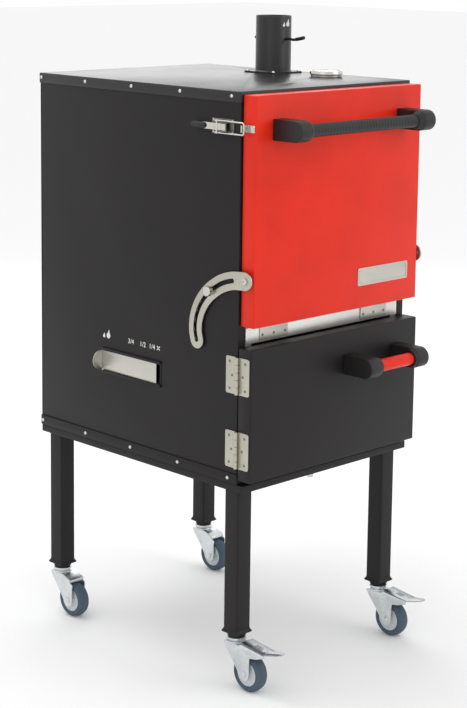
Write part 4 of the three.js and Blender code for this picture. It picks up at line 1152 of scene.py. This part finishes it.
def make_stay_bolt(side, sign, pivot, inner, outer):
    """A shouldered bolt in the door's edge with a domed, slotted head; sign points away from the oven."""
    low, high = box_mm(f"stay_bolt_{side}")
    door = high.x if sign < 0 else low.x
    shank = [(0, door), (8, door), (8, inner - sign * 0.5), (4, inner - sign * 0.4)]
    head = [(4, 0.3), (7, 0.3), (7, 1), (6.3, 2.4), (4.4, 3.3), (2.6, 3.5), (2.4, 2.2), (0, 2.2)]
    bm = fresh()
    lathe(bm, shank + [(r, outer + sign * w) for r, w in head], "x", (pivot.x, pivot.y), 40)
    to_piece(f"stay_bolt_{side}_finished", bm, "polished_steel", "upper_door", [f"stay_bolt_{side}"])


def make_thumb_screw(side, sign, inner, outer):
    """A clamp screw through the stay's slot, with a washer and a knurled head."""
    low, high = box_mm(f"thumb_screw_{side}")
    pin = joint_mm(f"thumb_screw_{side}")
    wall, tip = (high.x, low.x) if sign < 0 else (low.x, high.x)
    knurl = 0.7
    shank = [(0, wall), (7, wall), (7, inner - sign * 0.5), (3, inner - sign * 0.4)]
    washer = [(3, 0.3), (8, 0.3), (8.2, 0.9), (8.2, 2.4), (7, 3), (9.6, 3.4), (10.9, 4.4, knurl)]
    head = [(10.9, 2.4, knurl), (9.8, 1), (8, 0), (4.5, 0), (4, 0.8), (0, 0.8)]
    profile = shank + [(r, outer + sign * w, *ripple) for r, w, *ripple in washer]
    profile += [(r, tip - sign * w, *ripple) for r, w, *ripple in head]
    bm = fresh()
    lathe(bm, profile, "x", (pin.y, pin.z), 64)
    to_piece(f"thumb_screw_{side}_finished", bm, "polished_steel", f"clamp_{side}",
             [f"thumb_screw_{side}"], angle=24)


# ------------------------------------------------------------------ toggle latch
def make_latch():
    # The base plate's dark steel colour is a painted reflection of its dark surroundings.
    refined("latch_base", "latch_plate_painted_reflection", width=0.4)
    refined("latch_keeper", "polished_steel", width=0.4)
    pivot, eye = joint_mm("latch_lever"), joint_mm("latch_bail")
    make_latch_lever(pivot, eye)
    make_latch_bail(pivot, eye)
    make_latch_screws(pivot.z)


def pin_sleeve(bm, x, y, level, half):
    """A short upright sleeve on a latch pin."""
    bore, edge, outside, ease = 2.3, 4.6, 5, 0.4
    lathe(bm, [(bore, level - half), (edge, level - half), (outside, level - half + ease),
               (outside, level + half - ease), (edge, level + half), (bore, level + half),
               (bore, level - half)], "z", (x, y), 28)


def make_latch_lever(pivot, eye):
    """A strap between its sleeve on the base's pin and a dipped grip, with the loop's pin across it."""
    low, high = box_mm("latch_lever")
    x, level = pivot.x, pivot.z
    bm = fresh()
    pin_sleeve(bm, x, pivot.y, level, 6.9)
    lathe(bm, [(0, low.z), (2, low.z + 0.3), (2, level - 7.1), (4, level - 7.1), (4, level + 7.1),
               (2, level + 7.1), (2, high.z - 0.3), (0, high.z)], "z", (x, eye.y), 24)
    half_width, half_sheet = 6.8, 1.5
    strap = fresh()
    prism(strap, rectangle(pivot.y + 3, level - half_width, high.y - 30, level + half_width, 2, 4), "x",
          x - half_sheet, x + half_sheet)
    round_edges(strap, 0.5, 2)
    append_mesh(bm, strap)
    to_piece("latch_lever_finished", bm, "polished_steel", "toggle_lever", ["latch_lever"])
    grip = [(0, 41), (5.4, 41), (6.2, 40), (6.6, 35), (6.9, 27), (6.9, 8), (6.2, 3), (4.4, 0.4), (0, 0)]
    bm = fresh()
    lathe(bm, [(r, high.y - back) for r, back in grip], "y", (x, level), 36)
    to_piece("latch_grip_sleeve", bm, "black_plastic", "toggle_lever")


def make_latch_bail(pivot, eye):
    """A wire loop that hooks over the keeper, with an eye on each end."""
    x, level = pivot.x, pivot.z
    half, wire_radius, corner, steps = 12.0, 1.8, 4, 5
    front = box_mm("latch_bail")[0].y + wire_radius
    path = [(x, eye.y - 4, level - half), (x + 0.5, eye.y - 30, level - half),
            (x + 1.5, front + 10, level - half)]
    for k in range(steps + 1):
        angle = math.pi / 2 * k / steps
        path.append((x + 1.5, front + corner * (1 - math.sin(angle)),
                     level - half + corner * (1 - math.cos(angle))))
    path += [(px, py, 2 * level - pz) for px, py, pz in reversed(path)]
    bm = fresh()
    rod(bm, path, wire_radius, 12)
    for z in (-half, half):
        pin_sleeve(bm, x, eye.y, level + z, wire_radius)
    to_piece("latch_bail_finished", bm, "polished_steel", "toggle_bail", ["latch_bail"])


def make_latch_screws(level):
    """Rivets through the base plate and a screw through the keeper."""
    low, high = box_mm("latch_base")
    sheet, reach = 2, 11.5
    rivets = [((high.x - sheet, y, level + z), (-1, 0, 0))
              for y in (high.y - 5, high.y - 16, low.y + 5) for z in (-reach, reach)]
    fasteners("latch_rivets", "rivet", rivets, 2.5, "polished_steel", "cabinet")
    keeper_low, keeper_high = box_mm("latch_keeper")
    fasteners("keeper_screw", "pan", [((keeper_high.x - sheet, keeper_low.y + 7, level), (-1, 0, 0))], 2.9,
              "bright_zinc", "upper_door")


# ------------------------------------------------------------------ air intake
def make_air_intake():
    """The painted guide, and the slide: a plate whose rear edge is bent out into a round tab."""
    refined("air_guide", "charcoal_paint", width=0.35)
    low, high = box_mm("air_slide")
    level, inner, sheet = (low.z + high.z) / 2, high.x, 1.5
    bm = fresh()
    prism(bm, rectangle(low.y, low.z, high.y, high.z, 1.5, 3), "x", inner - sheet, inner)
    round_edges(bm, 0.3, 2)
    radius, centre, steps = 21.5, inner - 5, 24
    outline = [(inner - 1, level + radius), (inner - 1, level - radius)]
    outline += [(centre - radius * math.cos(a), level + radius * math.sin(a)) for a in
                (math.pi * (-0.5 + k / steps) for k in range(steps + 1))]
    tab = fresh()
    prism(tab, outline, "y", high.y - sheet, high.y)
    round_edges(tab, 0.3, 2)
    append_mesh(bm, tab)
    to_piece("air_slide_finished", bm, "brushed_level", "air_plate", ["air_slide"])


# A generic flame in millimetres, from the middle of its foot.
FLAME = [(0, 0), (3.2, 0.6), (5.2, 3.2), (5.0, 6.4), (3.4, 9.6), (2.6, 12.4), (2.9, 15.4), (0.8, 13.4),
         (-0.8, 10.4), (-1.4, 7.6), (-2.6, 9.2), (-3.6, 7.4), (-4.2, 4.4), (-3.0, 1.4)]


def mark_on_left(bm, outline, y, z, scale, face):
    """A thin printed shape on the left side, whose own right points to the front."""
    prism(bm, [(y - u * scale, z + v * scale) for u, v in outline], "x", face - 0.25, face + 0.2)


def make_marks():
    """Printed guides: flames for wide open, fractions, and a cross for shut; and flames on the flue."""
    flame = rounded(FLAME, 1.5, 3)
    make_air_marks(flame)
    make_flue_marks(flame)


def make_air_marks(flame):
    face = box_mm("left_panel")[0].x
    bm = fresh()
    for y, scale in ((84, 1.3), (98, 0.75)):
        mark_on_left(bm, flame, y, 238, scale, face)
    half_length, half_width = 6, 0.9
    for angle in (45, -45):
        c, s = math.cos(math.radians(angle)), math.sin(math.radians(angle))
        stroke = [(u * c - v * s, u * s + v * c)
                  for u, v in rectangle(-half_length, -half_width, half_length, half_width)]
        mark_on_left(bm, stroke, -78, 244, 1.0, face)
    to_piece("air_marks", bm, "white_ink", "cabinet")
    for label, y in (("3/4", 9.5), ("1/2", -28.5), ("1/4", -57.7)):
        facing_left = Matrix(((0, 0, -1, face - 0.12), (-1, 0, 0, y), (0, 1, 0, 239), (0, 0, 0, 1)))
        text_piece(f"air_fraction_{label[0]}_{label[2]}", label, 15, facing_left)


def make_flue_marks(flame):
    """Two flames, made flat and then wrapped onto the round pipe, facing the doors."""
    low, high = box_mm("flue_pipe")
    x, y = (low.x + high.x) / 2, (low.y + high.y) / 2
    pipe_radius, level = 40, 904
    bm = fresh()
    for offset, scale in ((4, 1.15), (-8, 0.7)):
        loop = [(offset + u * scale, v * scale) for u, v in flame]
        prism(bm, loop, "y", -pipe_radius - 0.25, -pipe_radius + 0.8)
    for vert in bm.verts:
        angle, reach = vert.co.x / pipe_radius, -vert.co.y
        vert.co = Vector((x + reach * math.sin(angle), y - reach * math.cos(angle), level + vert.co.z))
    to_piece("flue_marks", bm, "white_ink", "cabinet")


def text_piece(name, text, height, matrix):
    """Generic figures as a thin plate on the cabinet, turned and moved by the matrix, in millimetres."""
    curve = bpy.data.curves.new(name, "FONT")
    curve.body = text
    curve.size = height
    curve.extrude = 0.08
    curve.align_x = "CENTER"
    temporary = bpy.data.objects.new(f"{name}_text", curve)
    bpy.context.scene.collection.objects.link(temporary)
    bpy.context.view_layer.update()
    mesh = bpy.data.meshes.new_from_object(temporary.evaluated_get(bpy.context.evaluated_depsgraph_get()))
    bpy.data.objects.remove(temporary)
    bpy.data.curves.remove(curve)
    bm = fresh()
    bm.from_mesh(mesh)
    bpy.data.meshes.remove(mesh)
    bmesh.ops.transform(bm, matrix=matrix, verts=bm.verts)
    to_piece(name, bm, "white_ink", "cabinet")


# ------------------------------------------------------------------ roof fittings
def make_flue():
    """A thin pipe with a rounded mouth, a weld at its foot and a square flange held by four screws."""
    low, high = box_mm("flue_pipe")
    x, y = (low.x + high.x) / 2, (low.y + high.y) / 2
    roof = box_mm("roof_cap")[1].z
    radius, wall, half, top = 40.0, 1.5, (high.x - low.x) / 2, high.z
    under, over = roof + 0.3, roof + 3.3
    bm = fresh()
    lathe(bm, [(radius, low.z), (radius, top - 0.7), (radius - 0.3, top - 0.1), (radius - 0.75, top),
               (radius - wall + 0.3, top - 0.1), (radius - wall, top - 0.7), (radius - wall, low.z),
               (radius, low.z)], "z", (x, y), 96)
    weld = [(-0.2, 6), (1, 5), (2.2, 4), (3, 3.2), (-0.2, 3.2)]
    lathe(bm, [(radius + grow, roof + z) for grow, z in weld], "z", (x, y), 96)
    flange = fresh()
    prism(flange, rectangle(x - half, y - half, x + half, y + half, 5, 6), "z", under, over,
          [circle(x, y, radius - 0.3, 72)])
    round_edges(flange, 0.6, 2, degrees=60)
    append_mesh(bm, flange)
    to_piece("flue_pipe_finished", bm, "roof_paint", "cabinet", ["flue_pipe"])
    reach = half - 7
    places = [((x + sx * reach, y + sy * reach, over), (0, 0, 1)) for sx in (-1, 1) for sy in (-1, 1)]
    fasteners("flange_screws", "pan", places, 3.4, "bright_zinc", "cabinet")
    make_damper(x, y, radius, radius - wall - 1)


def make_damper(x, y, pipe_radius, disc_radius):
    """A disc on a rod through the pipe; the rod's front end is a bent, thicker grip, its rear has a nut."""
    low, high = box_mm("damper")
    level = joint_mm("damper").z
    front, rear, face = low.y, high.y, y - pipe_radius
    rod_radius = 3.0
    path = [(x, rear, level), (x, rear - 1, level), (x, face - 12, level)]
    path += smooth_path([(x, face - 14, level - 0.2), (x, face - 24, level - 1),
                         (x, front + 16, level + 1.4), (x, front + 1, level + 4.6)], 6)
    bm = fresh()
    rod(bm, path, rod_radius, 16)
    grip = smooth_path([(x, front + 24, level + 0.2), (x, front + 14, level + 1.9),
                        (x, front + 0.5, level + 4.8)], 5)
    rod(bm, grip, rod_radius + 1.0, 16)
    lathe(bm, [(0, x - 0.75), (disc_radius - 0.3, x - 0.75), (disc_radius, x - 0.4), (disc_radius, x + 0.4),
               (disc_radius - 0.3, x + 0.75), (0, x + 0.75)], "x", (y, level), 72)
    to_piece("damper_finished", bm, "charcoal_paint", "flue_damper", ["damper"])
    nut = [(0, 44), (5.6, 44), (6.4, 44.6), (6.4, 48.4), (5.6, 49), (0, 49)]
    bm = fresh()
    lathe(bm, [(r, y + along) for r, along in nut], "y", (x, level), 6)
    to_piece("damper_nut", bm, "bright_zinc", "flue_damper")


def make_thermometer():
    """A round case with a bright bezel, a dark dial under glass, and its pointer."""
    low, high = box_mm("thermometer_case")
    x, y = (low.x + high.x) / 2, (low.y + high.y) / 2
    roof = box_mm("roof_cap")[1].z
    bezel, case = (high.x - low.x) / 2, 34.0
    stem = [(0, low.z), (2.6, low.z + 0.6), (4, low.z + 3), (4, roof + 0.3)]
    rim = [(case - 0.6, 0.3), (case, 0.9), (case, 4.8), (bezel - 0.8, 5.6), (bezel, 6.6), (bezel, 10.6),
           (bezel - 0.8, 12.4), (bezel - 2.6, 13.4), (bezel - 3.6, 12.8), (bezel - 4.2, 8.9), (0, 8.9)]
    bm = fresh()
    lathe(bm, stem + [(r, roof + z) for r, z in rim], "z", (x, y), 96)
    to_piece("thermometer_case_finished", bm, "polished_steel", "cabinet", ["thermometer_case"])
    dial = bezel - 4.3
    bm = fresh()
    lathe(bm, [(0, roof + 8.8), (dial, roof + 8.8), (dial, roof + 9.02), (0, roof + 9.02)], "z", (x, y), 72)
    to_piece("dial_face", bm, "dial_black", "cabinet")
    make_dial_marks(x, y, roof + 9.06)
    glass = bezel - 3.4
    bm = fresh()
    lathe(bm, [(0, roof + 12.9), (18, roof + 12.85), (glass, roof + 12.3), (glass, roof + 11.9),
               (0, roof + 12.3)], "z", (x, y), 72)
    to_piece("dial_glass", bm, "dial_glass", "cabinet")
    dress("thermometer_pointer", "red_ink")


def make_dial_marks(x, y, level):
    """Ticks every 10 and figures every 50 degrees, round three quarters of the dial."""
    start, ticks, tick_step, long_every = 225, 31, 9, 5
    outer, long_inner, short_inner = 29.5, 23.5, 26
    bm = fresh()
    for i in range(ticks):
        angle = math.radians(start - tick_step * i)
        inner, width = (long_inner, 0.55) if i % long_every == 0 else (short_inner, 0.28)
        c, s = math.cos(angle), math.sin(angle)
        loop = [(x + c * r - s * w, y + s * r + c * w) for r, w in
                ((inner, -width), (outer, -width), (outer, width), (inner, width))]
        prism(bm, loop, "z", level - 0.05, level + 0.06)
    to_piece("dial_ticks", bm, "white_ink", "cabinet")
    figures, figure_radius, half_height = 7, 18.6, 1.7
    for i in range(figures):
        angle = math.radians(start - tick_step * long_every * i)
        place = Matrix.Translation((x + figure_radius * math.cos(angle),
                                    y + figure_radius * math.sin(angle) - half_height, level))
        text_piece(f"dial_figure_{i}", str(i * 50), 4.6, place)


# The drain stud's section as (radius, height): a flange under the base, a long neck and a hollow end.
DRAIN_STUD = [(0, 0.5), (9, 0.5), (9, -1.6), (8.4, -2), (6.5, -2.2), (6.5, -43), (7.4, -43.6), (7.4, -49),
              (6.4, -50.4), (4.6, -50.8), (4.2, -44), (0, -44)]


def make_drain():
    bm = fresh()
    lathe(bm, DRAIN_STUD, "z", (22, -262), 40)
    to_piece("drain_stud", bm, "polished_steel", "cabinet")


# ------------------------------------------------------------------ stage
# Name, place in metres, power in watts and width in metres of each soft light.
LIGHTS = [("key", (1.8, -3.8, 2.6), 26, 2.6), ("fill", (-3.8, -1.4, 2.2), 8, 2.6),
          ("top", (-0.4, 1.2, 3.6), 26, 2.2), ("rim", (2.6, 3.0, 2.2), 14, 2.0)]
LIGHT_TARGET = (0, 0, 0.6)
CAMERA_PLACE = (-2717.33, -2798.92, 1089.77)
CAMERA_TURN = (-44.56, 9.06, 0.70)  # yaw, tilt down and roll in degrees
CAMERA_LENS = 90.76
CAMERA_SENSOR = 36
CAMERA_SHIFT = -0.18


def make_stage():
    scene = bpy.context.scene
    scene.view_settings.view_transform = "Standard"
    world = bpy.data.worlds.new("studio")
    world.use_nodes = True
    background = world.node_tree.nodes["Background"]
    background.inputs["Color"].default_value = (1.0, 1.0, 1.0, 1.0)
    background.inputs["Strength"].default_value = 1.0
    scene.world = world
    make_floor(scene)
    make_lights(scene)
    make_camera(scene)


def make_floor(scene):
    level, reach = CAD_BOX[0][2], 30
    mesh = bpy.data.meshes.new("floor")
    mesh.from_pydata([(-reach, -reach, level), (reach, -reach, level), (reach, reach, level),
                      (-reach, reach, level)], [], [(0, 1, 2, 3)])
    floor = bpy.data.objects.new("floor", mesh)
    scene.collection.objects.link(floor)
    pale = bpy.data.materials.new("pale_floor")
    pale.use_nodes = True
    shader = pale.node_tree.nodes["Principled BSDF"]
    shader.inputs["Base Color"].default_value = (0.93, 0.93, 0.93, 1.0)
    shader.inputs["Roughness"].default_value = 0.9
    shader.inputs["Specular IOR Level"].default_value = 0.1
    mesh.materials.append(pale)


def make_lights(scene):
    for name, place, power, width in LIGHTS:
        light = bpy.data.lights.new(name, "AREA")
        light.energy = power
        light.size = width
        lamp = bpy.data.objects.new(name, light)
        lamp.location = place
        toward = Vector(LIGHT_TARGET) - Vector(place)
        lamp.rotation_euler = toward.to_track_quat("-Z", "Y").to_euler()
        scene.collection.objects.link(lamp)


def make_camera(scene):
    camera_data = bpy.data.cameras.new("camera")
    camera_data.lens = CAMERA_LENS
    camera_data.sensor_width = CAMERA_SENSOR
    camera_data.shift_y = CAMERA_SHIFT
    camera_data.clip_end = 50
    camera = bpy.data.objects.new("camera", camera_data)
    yaw, tilt, roll = (math.radians(angle) for angle in CAMERA_TURN)
    look = Vector((-math.sin(yaw) * math.cos(tilt), math.cos(yaw) * math.cos(tilt), -math.sin(tilt)))
    level_right = Vector((math.cos(yaw), math.sin(yaw), 0))
    level_up = level_right.cross(look)
    right = level_right * math.cos(roll) + level_up * math.sin(roll)
    up = level_up * math.cos(roll) - level_right * math.sin(roll)
    turned = Matrix((right, up, -look)).transposed()
    camera.matrix_world = Matrix.Translation(at(*CAMERA_PLACE)) @ turned.to_4x4()
    scene.collection.objects.link(camera)
    scene.camera = camera


# ------------------------------------------------------------------ operators
def build_trees():
    build_fastener_tree()
    build_bar_tree()


class OVEN_OT_stage(bpy.types.Operator):
    """Make the floor, the soft lights and the camera"""
    bl_idname = "oven.stage"
    bl_label = "Stage"

    def execute(self, context):
        make_stage()
        return {"FINISHED"}


class OVEN_OT_finishes(bpy.types.Operator):
    """Make all paints, metals, plastics and inks"""
    bl_idname = "oven.finishes"
    bl_label = "Finishes"

    def execute(self, context):
        build_finishes()
        return {"FINISHED"}


class OVEN_OT_trees(bpy.types.Operator):
    """Make the geometry trees for fasteners and bars"""
    bl_idname = "oven.trees"
    bl_label = "Trees"

    def execute(self, context):
        build_trees()
        return {"FINISHED"}


class OVEN_OT_cabinet(bpy.types.Operator):
    """Make the caps, the panels, the leg frame and the lip screws"""
    bl_idname = "oven.cabinet"
    bl_label = "Cabinet"

    def execute(self, context):
        make_cabinet()
        return {"FINISHED"}


class OVEN_OT_inside(bpy.types.Operator):
    """Finish the liner, the grate and the ash pan, and make the grill rack"""
    bl_idname = "oven.inside"
    bl_label = "Inside"

    def execute(self, context):
        make_inside()
        return {"FINISHED"}


class OVEN_OT_stand(bpy.types.Operator):
    """Make four legs with flared feet"""
    bl_idname = "oven.stand"
    bl_label = "Stand"

    def execute(self, context):
        make_stand()
        return {"FINISHED"}


class OVEN_OT_casters(bpy.types.Operator):
    """Make the forks, the wheels and the brake pedals"""
    bl_idname = "oven.casters"
    bl_label = "Casters"

    def execute(self, context):
        make_casters()
        return {"FINISHED"}


class OVEN_OT_doors(bpy.types.Operator):
    """Make both doors, their gaskets and the plain badge"""
    bl_idname = "oven.doors"
    bl_label = "Doors"

    def execute(self, context):
        make_doors()
        return {"FINISHED"}


class OVEN_OT_handles(bpy.types.Operator):
    """Make the handle blocks and grips"""
    bl_idname = "oven.handles"
    bl_label = "Handles"

    def execute(self, context):
        make_handles()
        return {"FINISHED"}


class OVEN_OT_hinges(bpy.types.Operator):
    """Make the leaf hinges of both doors"""
    bl_idname = "oven.hinges"
    bl_label = "Hinges"

    def execute(self, context):
        make_hinges()
        return {"FINISHED"}


class OVEN_OT_stays(bpy.types.Operator):
    """Make the slotted stays with their bolts and thumb screws"""
    bl_idname = "oven.stays"
    bl_label = "Stays"

    def execute(self, context):
        make_stays()
        return {"FINISHED"}


class OVEN_OT_latch(bpy.types.Operator):
    """Make the toggle latch and its keeper"""
    bl_idname = "oven.latch"
    bl_label = "Latch"

    def execute(self, context):
        make_latch()
        return {"FINISHED"}


class OVEN_OT_air_intake(bpy.types.Operator):
    """Make the guide and the slide of the air intake"""
    bl_idname = "oven.air_intake"
    bl_label = "Air Intake"

    def execute(self, context):
        make_air_intake()
        return {"FINISHED"}


class OVEN_OT_marks(bpy.types.Operator):
    """Make the printed flames, fractions and cross"""
    bl_idname = "oven.marks"
    bl_label = "Marks"

    def execute(self, context):
        make_marks()
        return {"FINISHED"}


class OVEN_OT_flue(bpy.types.Operator):
    """Make the pipe, its flange and the damper"""
    bl_idname = "oven.flue"
    bl_label = "Flue"

    def execute(self, context):
        make_flue()
        return {"FINISHED"}


class OVEN_OT_thermometer(bpy.types.Operator):
    """Make the case, the dial, the glass and the pointer"""
    bl_idname = "oven.thermometer"
    bl_label = "Thermometer"

    def execute(self, context):
        make_thermometer()
        return {"FINISHED"}


class OVEN_OT_drain(bpy.types.Operator):
    """Make the drain stud under the base"""
    bl_idname = "oven.drain"
    bl_label = "Drain"

    def execute(self, context):
        make_drain()
        return {"FINISHED"}


STEPS = [OVEN_OT_stage, OVEN_OT_finishes, OVEN_OT_trees, OVEN_OT_cabinet, OVEN_OT_inside, OVEN_OT_stand,
         OVEN_OT_casters, OVEN_OT_doors, OVEN_OT_handles, OVEN_OT_hinges, OVEN_OT_stays, OVEN_OT_latch,
         OVEN_OT_air_intake, OVEN_OT_marks, OVEN_OT_flue, OVEN_OT_thermometer, OVEN_OT_drain]


class OVEN_PT_panel(bpy.types.Panel):
    bl_label = "Charcoal Oven"
    bl_idname = "OVEN_PT_panel"
    bl_space_type = "VIEW_3D"
    bl_region_type = "UI"
    bl_category = "Oven"

    def draw(self, context):
        layout = self.layout
        for group in (context.scene.oven_sizes, context.scene.oven_colours):
            for name in group.bl_rna.properties.keys():
                if name not in {"rna_type", "name"}:
                    layout.prop(group, name)
        for step in STEPS:
            layout.operator(step.bl_idname)


CLASSES = [OvenSizes, OvenColours, *STEPS, OVEN_PT_panel]


def register():
    for cls in CLASSES:
        bpy.utils.register_class(cls)
    bpy.types.Scene.oven_sizes = bpy.props.PointerProperty(type=OvenSizes)
    bpy.types.Scene.oven_colours = bpy.props.PointerProperty(type=OvenColours)


def unregister():
    del bpy.types.Scene.oven_colours
    del bpy.types.Scene.oven_sizes
    for cls in reversed(CLASSES):
        bpy.utils.unregister_class(cls)


def main():
    register()
    for step in STEPS:
        getattr(bpy.ops.oven, step.bl_idname.split(".")[1])()


if __name__ == "__main__":
    main()
